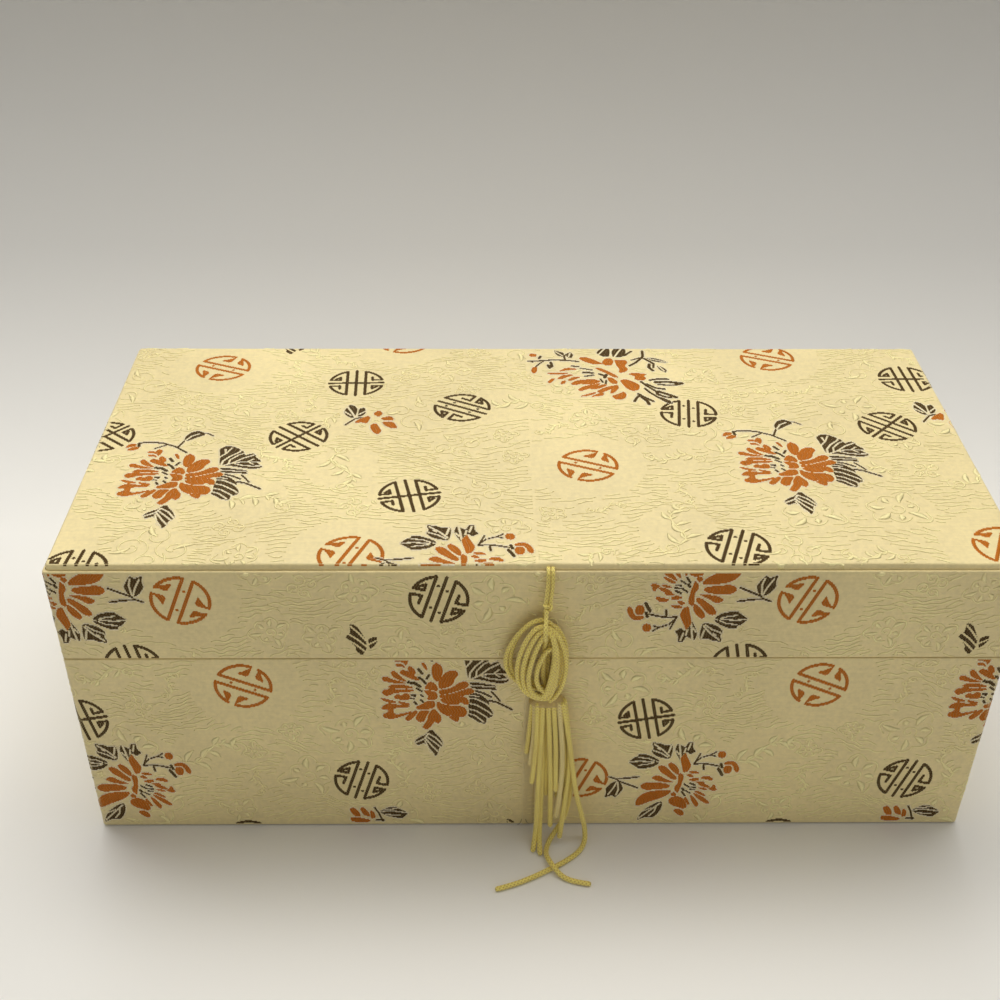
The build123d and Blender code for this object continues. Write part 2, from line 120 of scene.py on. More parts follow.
class BoxColours(bpy.types.PropertyGroup):
    """Colours of cloth, thread, cord, satin, card and paper."""

    ground: colour("Ground", "Brocade ground", (234, 215, 156))
    float_thread: colour("Float", "Damask float thread", (255, 235, 172))
    orange: colour("Orange", "Orange figuring thread", (200, 116, 32))
    dark: colour("Dark", "Dark figuring thread", (88, 67, 34))
    cream: colour("Cream", "Pale figuring thread", (252, 236, 204))
    cord: colour("Cord", "Yellow silk cord", (255, 216, 112))
    cord_tan: colour("Tan cord", "Faded silk cord", (244, 214, 140))
    satin: colour("Satin", "Lining satin", (236, 206, 134))
    card: colour("Card", "Grey-brown card", (164, 142, 110))
    paper: colour("Paper", "Underside paper", (214, 204, 180))
    floor: colour("Floor", "Table top", (238, 236, 230))


GROUPS = {"brocade_cloth": ClothSizes, "brocade_cords": CordSizes, "brocade_colours": BoxColours}


def settings():
    """The scene's sizes of cloth and cords, and its colours."""
    return [getattr(bpy.context.scene, name) for name in GROUPS]


# Meshes

def fill_mesh(name, points, faces):
    """Mesh of points (n, 3) and faces (m, k), both whole arrays."""
    mesh = bpy.data.meshes.new(name)
    count, corners = faces.shape
    mesh.vertices.add(len(points))
    mesh.vertices.foreach_set("co", np.ascontiguousarray(points, np.float32).ravel())
    mesh.loops.add(count * corners)
    mesh.loops.foreach_set("vertex_index", np.ascontiguousarray(faces, np.int32).ravel())
    mesh.polygons.add(count)
    mesh.polygons.foreach_set("loop_start", np.arange(0, count * corners, corners, dtype=np.int32))
    mesh.polygons.foreach_set("use_smooth", np.ones(count, dtype=bool))
    mesh.update(calc_edges=True)
    return mesh


def add_object(name, data):
    """Object for a mesh, camera or lamp, put in the scene."""
    item = bpy.data.objects.new(name, data)
    bpy.context.scene.collection.objects.link(item)
    return item


def dress(mesh, material):
    """Gives a mesh its one finish."""
    mesh.materials.clear()
    mesh.materials.append(material)


def add_piece(name, mesh, material, body, replaces=()):
    """Object for a mesh, with its material, body and the CAD nodes that it stands for."""
    piece = add_object(name, mesh)
    dress(mesh, material)
    if body:
        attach(piece, body)
    if replaces:
        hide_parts(*replaces)
    return piece


def vertex_places(mesh):
    """A mesh's points as an array."""
    co = np.zeros(len(mesh.vertices) * 3)
    mesh.vertices.foreach_get("co", co)
    return co.reshape(-1, 3)


def surface(x, y, z):
    """Points from coordinates that are spread over one another."""
    return np.stack(np.broadcast_arrays(x, y, z), -1)


def grid_faces(rows, columns, wrap_columns=False):
    """Quads between the rows and columns of a grid, whose points run row by row."""
    row = np.arange(rows - 1)[:, None] * columns
    column = np.arange(columns if wrap_columns else columns - 1)[None, :]
    ahead = (column + 1) % columns
    corners = (row + column, row + ahead, row + columns + ahead, row + columns + column)
    return np.stack(corners, -1).reshape(-1, 4)


def triangles(quads):
    """Two triangles for each quad."""
    return np.concatenate([quads[:, [0, 1, 2]], quads[:, [0, 2, 3]]])


def fan(pole, ring):
    """Triangles from a pole to each edge of a closed ring."""
    return np.stack([np.full(len(ring), pole), ring, np.roll(ring, -1)], -1)


def closed_sheet(name, face, back):
    """Mesh of two like grids of points, a face and its back, joined round their borders."""
    rows, columns = face.shape[:2]
    count = rows * columns
    faces = triangles(grid_faces(rows, columns))
    border = np.concatenate([
        np.arange(columns), np.arange(1, rows) * columns + columns - 1,
        (rows - 1) * columns + np.arange(columns - 2, -1, -1), np.arange(rows - 2, 0, -1) * columns,
    ])
    ahead = np.roll(border, -1)
    skirt = triangles(np.stack([ahead, border, border + count, ahead + count], -1))
    points = np.concatenate([face.reshape(-1, 3), back.reshape(-1, 3)])
    return fill_mesh(name, points, np.concatenate([faces, faces[:, ::-1] + count, skirt]))


# Shader nodes

class Nodes:
    """Builds a node tree with few words: each call adds a node and gives back its output."""

    def __init__(self, tree):
        self.tree = tree

    def add(self, kind, output=0, inputs=None, **values):
        node = self.tree.nodes.new(kind)
        for name, value in values.items():
            setattr(node, name, value)
        for name, value in (inputs or {}).items():
            self.put(node.inputs[name], value)
        return node.outputs[output]

    def put(self, socket, value):
        if isinstance(value, bpy.types.NodeSocket):
            self.tree.links.new(value, socket)
        else:
            socket.default_value = value

    def find(self, kind):
        return next(node for node in self.tree.nodes if node.type == kind)

    def math(self, operation, *values):
        return self.add("ShaderNodeMath", inputs=dict(enumerate(values)), operation=operation)

    def mix(self, factor, low, high):
        return self.add("ShaderNodeMix", 2, {0: factor, 6: low, 7: high}, data_type="RGBA")

    def ramp(self, value, low, high, first=0.0, last=1.0):
        """Value from low to high, laid between first and last."""
        return self.add("ShaderNodeMapRange", inputs={0: value, 1: low, 2: high, 3: first, 4: last})

    def noise(self, place, scale, detail=2.0):
        return self.add("ShaderNodeTexNoise", inputs={"Vector": place, "Scale": scale, "Detail": detail})

    def mapped(self, place, **values):
        return self.add("ShaderNodeMapping", inputs={"Vector": place, **values})

    def split(self, place):
        return self.add("ShaderNodeSeparateXYZ", inputs={0: place}).node.outputs

    def weighted(self, *terms):
        """Sum of values, each times its own factor."""
        total, *others = (self.math("MULTIPLY", value, factor) for value, factor in terms)
        for part in others:
            total = self.math("ADD", total, part)
        return total


def woven_ground(build, entry):
    """Plain weave with ribs: height is the product of two sines, one across each thread set,
    and shade is a slow cloudy value with a finer streak along the weft and a fine speckle."""
    place = entry["Vector"]
    x, y, z = build.split(place)
    turns = build.math("DIVIDE", 2 * pi, entry["Pitch"])
    across_wave = build.math("SINE", build.math("MULTIPLY", build.math("ADD", x, y), turns))
    weft_wave = build.math("SINE", build.math("MULTIPLY", z, turns))
    weave = build.math("MULTIPLY", across_wave, weft_wave)
    rib = build.math("MULTIPLY", weft_wave, entry["Rib"])
    grain = build.math("MULTIPLY", build.noise(place, 900.0, 3.0), 1.6)
    height = build.math("ADD", build.math("ADD", weave, rib), grain)
    streak = build.noise(build.mapped(place, Scale=(60.0, 60.0, 1400.0)), 1.0)
    speckle = build.noise(place, 620.0)
    return height, build.weighted((build.noise(place, 14.0, 4.0), 0.5), (streak, 0.15), (speckle, 0.35))


def braided_cord(build, entry):
    """Braid on a cord's own map: two sets of strands that wind opposite ways,
    whose height is the larger of two sines of the distance along plus or minus the turn."""
    place = entry["Vector"]
    distance, turn, _ = build.split(place)
    along = build.math("DIVIDE", distance, entry["Pitch"])
    turn = build.math("MULTIPLY", turn, entry["Strands"])
    height = build.math("MAXIMUM", *(
        build.math("SINE", build.math("MULTIPLY", build.math(way, along, turn), 2 * pi))
        for way in ("ADD", "SUBTRACT")
    ))
    # The braid's height is laid into the colour as well, so the grooves between strands come out darker: painted
    # shade.
    return height, build.weighted((height, 0.25), (build.noise(place, 60.0, 3.0), 0.9))


def fine_fibres(build, entry):
    """Fine fibres: noise drawn out along one axis, with a slow cloudy shade."""
    place = entry["Vector"]
    fibres = build.noise(build.mapped(place, Scale=entry["Stretch"]), 1.0, 4.0)
    return fibres, build.weighted((fibres, 0.5), (build.noise(place, 25.0, 3.0), 0.5))


def pattern_group(pattern, labels):
    """Node group round a pattern function, built once. It takes a place and the labelled values,
    and gives the height of the relief and the shade of the colour."""
    found = bpy.data.node_groups.get(pattern.__name__)
    if found:
        return found
    tree = bpy.data.node_groups.new(pattern.__name__, "ShaderNodeTree")
    for label in ("Vector", *labels):
        kind = "NodeSocketVector" if label in ("Vector", "Stretch") else "NodeSocketFloat"
        tree.interface.new_socket(label, in_out="INPUT", socket_type=kind)
    for label in ("Height", "Shade"):
        tree.interface.new_socket(label, in_out="OUTPUT", socket_type="NodeSocketFloat")
    entry, leaving = tree.nodes.new("NodeGroupInput"), tree.nodes.new("NodeGroupOutput")
    for value, socket in zip(pattern(Nodes(tree), entry.outputs), leaving.inputs):
        tree.links.new(value, socket)
    return tree


def tinted(tint, amount):
    """Colour made lighter or darker by a factor."""
    return (*(min(1.0, c * amount) for c in tint[:3]), 1.0)


def new_material(name):
    """Material with a Principled shader; gives the material and its builder."""
    material = bpy.data.materials.new(name)
    material.use_nodes = True
    return material, Nodes(material.node_tree)


def finish_shader(build, base, roughness, height, strength, depth, **values):
    """Puts colour, roughness and bump on the shader, and its plain values on their own sockets."""
    bump = build.add("ShaderNodeBump", inputs={"Strength": strength, "Distance": depth, "Height": height})
    values = {label.replace("_", " "): value for label, value in values.items()}
    values |= {"Base Color": base, "Roughness": roughness, "Normal": bump}
    for label, value in values.items():
        build.put(build.find("BSDF_PRINCIPLED").inputs[label], value)


def patterned(name, pattern, inputs, place, tint, tones, span, rough, bump, **values):
    """Material round a pattern, built once. Within a span the pattern's shade picks a tone of the tint,
    and roughness follows it too; the pattern's height is the relief, with a strength and a depth."""
    found = bpy.data.materials.get(name)
    if found:
        return found
    material, build = new_material(name)
    if place == "cord":
        where = build.add("ShaderNodeUVMap", uv_map="cord")
    else:
        where = build.add("ShaderNodeTexCoord", "Object")
    if place == "flat":
        where = build.mapped(where, Rotation=(pi / 2, 0, 0))
    group = pattern_group(pattern, inputs)
    height = build.add("ShaderNodeGroup", "Height", {"Vector": where, **inputs}, node_tree=group)
    shade = height.node.outputs["Shade"]
    base = build.mix(build.ramp(shade, *span), tinted(tint, tones[0]), tinted(tint, tones[1]))
    finish_shader(build, base, build.ramp(shade, *rough), height, *bump, **values)
    return material


def cloth_material(
    name, tint, flat=False, pitch=0.55 * MM, rib=0.6, sheen=0.2, rough=(0.34, 0.52), gloss=0.5,
):
    """Woven thread: ribs and grain in relief, cloudy colour, silk sheen. A flat piece's weft lies along X."""
    return patterned(
        name, woven_ground, {"Pitch": pitch, "Rib": rib}, "flat" if flat else "object", tint, (0.86, 1.1),
        (0.34, 0.66), (0.3, 0.7, *rough), (0.35, 0.06 * MM), Sheen_Weight=sheen, Specular_IOR_Level=gloss,
    )


def cord_material(name, tint, pitch=1.5 * MM, strands=4.0):
    """Braided silk cord: relief and colour follow the cord's own map."""
    return patterned(
        name, braided_cord, {"Pitch": pitch, "Strands": strands}, "cord", tint, (0.66, 1.25),
        (0.25, 0.75), (-0.4, 1.6), (0.8, 0.14 * MM), Sheen_Weight=0.3,
    )


def fibre_material(name, tint, stretch, rough, strength=0.2, **values):
    """Satin, card or paper: drawn-out fibres in relief with cloudy colour."""
    return patterned(
        name, fine_fibres, {"Stretch": stretch}, "object", tint, (0.84, 1.08),
        (0.35, 0.65), (0.3, 0.7, *rough), (strength, 0.05 * MM), **values,
    )


def satin_material(name, tint):
    """Satin: long floats along X, a low sheen across them."""
    stretch = (60.0, 1800.0, 1800.0)
    return fibre_material(name, tint, stretch, (0.26, 0.42), 0.25, Sheen_Weight=0.4, Anisotropic=0.5)


# Camera and stage

CAMERA_PLACE = (-19.2 * MM, -445.1 * MM, 421.1 * MM)
CAMERA_PITCH = radians(35.246)
CAMERA_YAW = radians(0.826)
CAMERA_ROLL = radians(-0.452)
CAMERA_FOCAL_PIXELS = 1319.2
PHOTO_PIXELS = 1000
SENSOR = 36.0

# Name, place, aim, side, power and tint of each lamp
LAMPS = (
    ("key", (-0.42, 0.42, 1.35), (0, 0, 0.1), 0.8, 9.5, (1.0, 0.985, 0.96)),
    ("overhead", (0.3, 0.3, 1.5), (0, 0, 0.0), 0.9, 9.4, (1.0, 0.985, 0.96)),
    ("gloss", (0.12, 1.35, 1.0), (0, 0, 0.13), 0.7, 3.0, (1.0, 0.99, 0.97)),
    ("front_fill", (0.5, -1.5, 0.75), (0, 0, 0.07), 1.2, 1.7, (1.0, 0.97, 0.93)),
)
SKY = (0.95, 0.94, 0.92, 1)
SKY_LIGHT = 0.26
SKY_SEEN = 0.4
UNDER_MARGIN = 3 * MM


def add_camera():
    """Camera at the photograph's place: forward from pitch and yaw, then rolled about it."""
    forward = Vector((
        sin(CAMERA_YAW) * cos(CAMERA_PITCH), cos(CAMERA_YAW) * cos(CAMERA_PITCH), -sin(CAMERA_PITCH),
    ))
    level = forward.cross(Vector((0, 0, 1))).normalized()
    upright = level.cross(forward)
    right = cos(CAMERA_ROLL) * level - sin(CAMERA_ROLL) * upright
    up = right.cross(forward)
    data = bpy.data.cameras.new("camera")
    data.sensor_width = SENSOR
    data.lens = SENSOR * CAMERA_FOCAL_PIXELS / PHOTO_PIXELS
    data.clip_start, data.clip_end = 0.01, 20
    camera = add_object("camera", data)
    turn = Matrix((right, up, -forward)).transposed()
    camera.matrix_world = Matrix.Translation(CAMERA_PLACE) @ turn.to_4x4()
    bpy.context.scene.camera = camera


def add_lamp(name, place, aim, side, power, tint):
    """Square soft lamp that faces a point."""
    data = bpy.data.lights.new(name, "AREA")
    data.shape = "SQUARE"
    data.size, data.energy, data.color = side, power, tint
    lamp = add_object(name, data)
    lamp.location = place
    lamp.rotation_euler = (Vector(aim) - Vector(place)).to_track_quat("-Z", "Y").to_euler()


def sweep_mesh(half_width, front, back, bend, top):
    """Table and backdrop in one sheet: flat, then a quarter circle, then upright.
    The profile is carried along X."""
    turn = np.linspace(0, pi / 2, 24)
    flat, columns = 8, 9
    y = np.concatenate([np.linspace(front, back - bend, flat), back - bend + bend * np.sin(turn), [back]])
    z = np.concatenate([np.zeros(flat), bend - bend * np.cos(turn), [top]])
    points = surface(np.linspace(-half_width, half_width, columns), y[:, None], z[:, None])
    return fill_mesh("table", points.reshape(-1, 3), grid_faces(len(y), columns))


def stage_material(floor):
    """Pale painted board with a faint cloudiness, painted greyer towards its bent-up back as painted shade where less
    light reaches it.
    A camera behind it or under it sees through it, and under the box it is open to light."""
    material, build = new_material("table_top")
    place = build.add("ShaderNodeTexCoord", "Object")
    across = build.split(place)
    cloud = build.noise(place, 3.0)
    base = build.mix(build.ramp(cloud, 0.3, 0.7), tinted(floor, 0.97), tinted(floor, 1.03))
    # Painted shade: the board's colour falls to two thirds towards its bent-up back, standing in for the light that
    # fades there.
    base = build.mix(build.ramp(across[1], 0.12, 0.34), base, tinted(floor, 0.66))
    finish_shader(build, base, 0.7, cloud, 0.05, 0.2 * MM)
    seen = build.add("ShaderNodeLightPath", "Is Camera Ray")
    behind = build.add("ShaderNodeNewGeometry", "Backfacing")
    under = build.math("MULTIPLY", *(
        build.math("LESS_THAN", build.math("ABSOLUTE", across[i]), BASE_HIGH[i] - UNDER_MARGIN) for i in (0, 1)
    ))
    clear = build.math("MAXIMUM", under, build.math("MULTIPLY", seen, behind))
    board = build.find("BSDF_PRINCIPLED").outputs[0]
    through = build.add("ShaderNodeMixShader", inputs={0: clear, 1: board, 2: build.add("ShaderNodeBsdfTransparent")})
    build.put(build.find("OUTPUT_MATERIAL").inputs["Surface"], through)
    return material


def add_stage():
    """Table with backdrop, lamps and world."""
    sweep = sweep_mesh(half_width=2.5, front=-1.5, back=0.42, bend=0.25, top=0.34)
    add_piece("table", sweep, stage_material(settings()[2].floor), None)
    for lamp in LAMPS:
        add_lamp(*lamp)
    world = bpy.data.worlds.new("studio")
    bpy.context.scene.world = world
    world.use_nodes = True
    build = Nodes(world.node_tree)
    background = build.find("BACKGROUND")
    seen = build.add("ShaderNodeLightPath", "Is Camera Ray")
    build.put(background.inputs["Color"], SKY)
    build.put(background.inputs["Strength"], build.math("MULTIPLY_ADD", seen, SKY_SEEN, SKY_LIGHT))
    bpy.context.scene.view_settings.view_transform = "Standard"


# Cords

END_TAPER = (0.62, 0.93)
CAP_BULGE = 0.2


def smooth_line(points, step):
    """Points along a NURBS spline that has the given control points, a step apart along it."""
    data = bpy.data.curves.new("route", "CURVE")
    data.dimensions = "3D"
    data.resolution_u = 16
    spline = data.splines.new("NURBS")
    spline.points.add(len(points) - 1)
    spline.points.foreach_set("co", np.c_[np.asarray(points, float), np.ones(len(points))].ravel())
    spline.order_u = 3
    spline.use_endpoint_u = True
    holder = bpy.data.objects.new("route", data)
    mesh = bpy.data.meshes.new_from_object(holder)
    line = vertex_places(mesh)
    bpy.data.objects.remove(holder)
    bpy.data.curves.remove(data)
    bpy.data.meshes.remove(mesh)
    run = np.r_[0, np.cumsum(np.linalg.norm(np.diff(line, axis=0), axis=1))]
    keep = np.r_[True, np.diff(run) > 1e-9]
    places = np.linspace(0, run[-1], max(4, round(run[-1] / step)))
    return np.stack([np.interp(places, run[keep], line[keep, axis]) for axis in range(3)], -1), run[-1]


def tube_mesh(name, line, radius, around, side, relief=None):
    """Tube: at each point of the line a ring lies across the heading, turned from a fixed side direction.
    Relief is a function of distance and turn that gives the share by which the radius grows."""
    heading = np.gradient(line, axis=0)
    heading /= np.linalg.norm(heading, axis=1)[:, None]
    across = np.array(side, float) - (heading @ np.array(side, float))[:, None] * heading
    across /= np.linalg.norm(across, axis=1)[:, None]
    over = np.cross(heading, across)
    distance = np.r_[0, np.cumsum(np.linalg.norm(np.diff(line, axis=0), axis=1))]
    rows = len(line)
    turn = np.arange(around) / around
    growth = 1 + (relief(distance[:, None], turn[None, :]) if relief else np.zeros((rows, around)))
    taper = np.ones(rows)
    taper[:2] = taper[:-3:-1] = END_TAPER
    size = (radius * growth * taper[:, None])[..., None]
    angle = 2 * pi * turn[:, None]
    points = (line[:, None] + (across[:, None] * np.cos(angle) + over[:, None] * np.sin(angle)) * size).reshape(-1, 3)
    bulge = radius * CAP_BULGE
    points = np.concatenate([points, [line[0] - heading[0] * bulge, line[-1] + heading[-1] * bulge]])
    first, ring = rows * around, np.arange(around)
    faces = np.concatenate([
        triangles(grid_faces(rows, around, wrap_columns=True)), fan(first, ring[::-1]),
        fan(first + 1, first - around + ring),
    ])
    mesh = fill_mesh(name, points, faces)
    column = faces % around
    turn_of = np.where((column == 0) & (column.max(1)[:, None] == around - 1), 1.0, column / around)
    pole = faces >= first
    ring_of = np.where(faces == first, 0, np.minimum(faces // around, rows - 1))
    layer = mesh.uv_layers.new(name="cord")
    layer.data.foreach_set("uv", np.stack([distance[ring_of], np.where(pole, 0.5, turn_of)], -1).ravel())
    return mesh


def braid_relief(pitch, depth):
    """Relief of a braid: the higher of two crossing sets of rounded strands."""
    def relief(distance, turn):
        one, other = (np.abs(np.sin(pi * (distance / pitch + way * turn))) for way in (3, -3))
        return depth * (np.maximum(one, other) - 0.8)
    return relief


def twist_relief(pitch, depth):
    """Relief of three plies twisted together."""
    def relief(distance, turn):
        return depth * (np.abs(np.cos(1.5 * 2 * pi * (turn + distance / pitch))) - 0.64)
    return relief


HANGER_RELIEF = braid_relief(1.7 * MM, 0.1)
HANK_RELIEF = braid_relief(1.9 * MM, 0.07)
STRAND_RELIEF = twist_relief(4.6 * MM, 0.12)
HANGER_STEP, KNOT_STEP, HANK_STEP, STRAND_STEP = 0.35 * MM, 0.3 * MM, 0.42 * MM, 0.5 * MM
KNOT_CORD = 1.3 * MM

# Routes of the fixed ends and of the hanging cord, in millimetres from the lid's rim and from the knot
HALF_GAP = 0.8
TAIL = ((13.5, 0.0), (8.0, 0.0), (2.2, 0.05), (0.7, 0.05), (-0.1, -0.2))
HANGER_DOWN = ((-0.8, 0.1, 0.1), (-0.8, -0.4, -1.0), (-0.84, -1.2, -5.0), (-1.24, -2.3, -9.0))
HANGER_BEND = ((-0.72, 0.0, 1.2), (-0.5, -0.3, -1.0), (0.4, -0.3, -1.0), (0.78, 0.0, 1.2))
HANGER_UP = ((0.36, -2.3, -9.0), (0.76, -1.2, -5.0), (0.8, -0.4, -1.0), (0.8, 0.1, 0.1))

# Fringe routes from the binding downwards, in millimetres
NECK_MIDDLE = 74.8
FRINGE = (
    ((-0.9, -82.7, 76.0), (-1.0, -82.6, 72.0), (-1.5, -83.1, 64.5), (-2.2, -83.6, 54.0), (-3.0, -83.9, 45.6)),
    ((-0.2, -84.5, NECK_MIDDLE), (0.0, -84.9, 61.5), (-0.7, -85.6, 50.0), (-1.5, -85.8, 41.0)),
    ((0.6, -86.3, NECK_MIDDLE), (0.7, -86.9, 59.0), (0.1, -87.3, 44.5), (-0.8, -87.1, 32.3)),
    ((3.8, -84.4, NECK_MIDDLE), (4.6, -84.7, 57.0), (5.0, -85.2, 40.0), (5.0, -85.3, 23.7)),
    ((4.6, -86.3, NECK_MIDDLE), (5.6, -86.9, 56.0), (6.4, -87.3, 38.0), (6.9, -87.5, 22.0), (7.1, -87.5, 7.8)),
    ((5.6, -84.4, NECK_MIDDLE), (6.6, -84.9, 57.0), (7.2, -85.5, 40.0), (7.6, -85.6, 23.5)),
    ((7.4, -84.4, NECK_MIDDLE), (8.4, -85.0, 56.5), (9.1, -85.3, 39.0), (9.6, -85.3, 22.3)),
    ((6.6, -86.3, NECK_MIDDLE), (7.9, -86.9, 58.0), (8.4, -87.5, 43.0), (8.7, -87.5, 28.2)),
    ((8.6, -86.3, NECK_MIDDLE), (10.3, -87.1, 58.0), (10.9, -87.6, 41.0), (10.4, -87.9, 26.0), (9.2, -88.0, 13.8)),
    ((9.3, -84.4, NECK_MIDDLE), (11.0, -85.0, 57.0), (12.0, -85.5, 39.0), (12.4, -85.5, 22.5)),
    ((6.8, -82.6, NECK_MIDDLE), (9.6, -83.0, 59.0), (12.2, -83.6, 43.5), (12.8, -83.8, 28.5)),
    (
        (10.6, -84.4, NECK_MIDDLE), (13.2, -85.2, 57.0), (13.8, -86.3, 41.0), (12.9, -87.3, 27.0),
        (11.9, -88.4, 14.5), (10.9, -89.4, 3.0),
    ),
    ((3.0, -82.6, NECK_MIDDLE), (3.6, -82.9, 58.0), (4.3, -83.3, 42.5), (4.6, -83.5, 29.0)),
    ((4.9, -82.6, NECK_MIDDLE), (6.0, -82.9, 57.5), (7.0, -83.4, 42.0), (8.2, -83.5, 28.5)),
)
LONG_STRANDS = {
    "pair_strand_left": (
        (2.6, -86.3, NECK_MIDDLE), (2.5, -87.0, 58.0), (1.9, -87.5, 40.0), (1.7, -87.7, 24.0),
        (1.6, -88.3, 11.5), (1.0, -90.0, 3.4), (0.1, -94.9, 1.05),
    ),
    "pair_strand_right": (
        (1.8, -84.4, NECK_MIDDLE), (2.9, -85.3, 58.0), (3.4, -85.9, 40.0), (3.2, -86.3, 24.0),
        (3.0, -87.2, 11.0), (2.7, -90.2, 3.4), (3.0, -96.6, 1.05),
    ),
    "long_strand_left": (
        (10.2, -86.3, NECK_MIDDLE), (13.0, -87.0, 57.0), (14.9, -87.5, 41.0), (16.8, -87.7, 27.0),
        (19.4, -87.3, 15.0), (21.3, -86.9, 6.0), (21.3, -90.3, 1.1), (18.4, -95.4, 1.05),
        (13.1, -99.7, 1.05), (7.0, -103.4, 1.05), (0.0, -107.4, 1.05), (-8.0, -111.2, 1.05),
        (-15.0, -113.3, 1.05),
    ),
    "long_strand_right": (
        (8.6, -82.6, NECK_MIDDLE), (12.2, -82.8, 57.0), (14.7, -83.6, 42.0), (15.0, -84.4, 29.0),
        (14.2, -85.3, 18.0), (12.2, -86.3, 9.5), (9.2, -87.0, 4.0), (6.3, -90.4, 1.1),
        (5.1, -95.5, 1.1), (6.0, -100.4, 3.15), (8.4, -105.0, 3.15), (11.6, -107.8, 1.1),
        (16.9, -110.0, 1.05), (22.3, -110.9, 1.05),
    ),
}
FADED_STRANDS = (1, 5, 8, 12)

# The hank's turns, in millimetres. The cord starts at the bottom in front, goes up the right, over the top
# and down the left, works inwards to a small hanging loop and then outwards again behind.
HANK_RIGHT = (8.8, 5.2, 3.8, 2.0, 2.6, 4.4, 6.6, 8.2, 9.4)
HANK_LEFT = (11.6, 9.2, 6.8, 5.4, 2.4, 8.6, 16.4, 14.4)
HANK_TOP = (112.4, 111.2, 110.0, 102.6, 108.6, 110.4, 113.6, 112.8)
HANK_BOTTOM = (76.6, 77.6, 78.8, 80.4, 82.0, 82.0, 80.0, 78.4, 77.4)
HANK_DEPTH = (-86.6, -87.4, -88.0, -88.6, -88.2, -85.2, -84.2, -83.0, -82.2)
HANK_TOP_X = (1.4, 2.6, 3.6, 5.2, 4.2, 3.2, 1.4, 0.8)
HANK_BOTTOM_X = (4.6, 3.2, 2.4, 2.0, 4.6, 5.2, 4.6, 3.8, 4.4)
# Numbers of turns, and how far the cord bulges forwards at each, in millimetres
HANK_BULGE = ((0, 2, 4, 5, 8.5), (0.5, 1.4, 1.6, -0.2, 0.4))
HANK_TOP_DEPTH = -84.9
HANK_START = ((4.4, -85.6, 74.2), (5.2, -86.0, 75.4))
HANK_END = ((3.2, -83.0, 76.8), (3.8, -83.4, 74.8))
POINTS_PER_TURN = 16


def hank_route():
    """One cord wound in turns. With the angle a from the bottom, height is the middle minus half the height
    times cos(a), and the side is the turn's half width times sin(a), fuller above on the right and below
    on the left. Widths, heights, sideways place and depth follow the turn number."""
    angle = np.arange(1, 8.5 * POINTS_PER_TURN) / POINTS_PER_TURN * 2 * pi
    turn = angle / (2 * pi)

    def at(values, first):
        return np.interp(turn, np.arange(len(values)) + first, values)

    share = (1 - np.cos(angle)) / 2
    top, bottom = at(HANK_TOP, 0.5), at(HANK_BOTTOM, 0)
    to_right = at(HANK_RIGHT, 0.25) * (0.9 - 0.14 * np.cos(angle))
    to_left = at(HANK_LEFT, 0.75) * (0.86 + 0.26 * np.cos(angle))
    side = np.where(np.sin(angle) > 0, to_right, to_left)
    x = at(HANK_BOTTOM_X, 0) * (1 - share) + at(HANK_TOP_X, 0.5) * share + side * np.sin(angle)
    z = bottom + (top - bottom) * share
    bulge = np.sin(angle) ** 2 * np.interp(turn, *HANK_BULGE)
    depth = at(HANK_DEPTH, 0)
    y = depth + (HANK_TOP_DEPTH - depth) * 0.45 * share**2 - bulge
    y = np.convolve(np.pad(y, 2, mode="edge"), np.ones(5) / 5, mode="valid")
    return np.concatenate([HANK_START, np.stack([x, y, z], -1), HANK_END]) * MM


def add_cord(name, route, diameter, material, body, replaces, side, relief, step=STRAND_STEP):
    """Cord along a smooth route: a tube with its relief, put in place of its CAD node."""
    line, run = smooth_line(route, step)
    mesh = tube_mesh(name, line, diameter / 2, settings()[1].around, side, relief)
    piece = add_piece(name, mesh, material, body, [replaces])


def add_hanging_cords(diameter, silk):
    """Fixed ends in the panel's channel, the doubled hanging cord and its knot."""
    for side, name in ((-HALF_GAP, "tail_cord_left"), (HALF_GAP, "tail_cord_right")):
        route = RIM + np.array([(side, y, z) for y, z in TAIL]) * MM
        add_cord(name, route, diameter, silk, "lid", "tassel_tail_cords", (1, 0, 0), HANGER_RELIEF, HANGER_STEP)
    knot = (np.array(KNOT_LOW) + np.array(KNOT_HIGH)) / 2
    down = np.concatenate([
        place + np.array(part) * MM for place, part in ((RIM, HANGER_DOWN), (knot, HANGER_BEND), (RIM, HANGER_UP))
    ])
    add_cord(
        "hanging_cord", down, diameter, silk, "hanger", "hanger_cords", (0, 1, 0), HANGER_RELIEF, HANGER_STEP,
    )
    turn = np.linspace(0, 2 * pi, 40)
    reach = (KNOT_HIGH[0] - KNOT_LOW[0]) / 2 - 0.62 * MM
    trefoil = np.stack([
        knot[0] + reach * (np.sin(turn) + 2 * np.sin(2 * turn)) / 2.6,
        knot[1] - 1.1 * MM * np.sin(3 * turn),
        knot[2] + 1.12 * reach * (np.cos(turn) - 2 * np.cos(2 * turn)) / 2.6,
    ], -1)
    add_cord(
        "hanger_knot_cord", trefoil, KNOT_CORD, silk, "hanger", "hanger_knot", (0.2, 1, 0.1), HANGER_RELIEF,
        KNOT_STEP,
    )


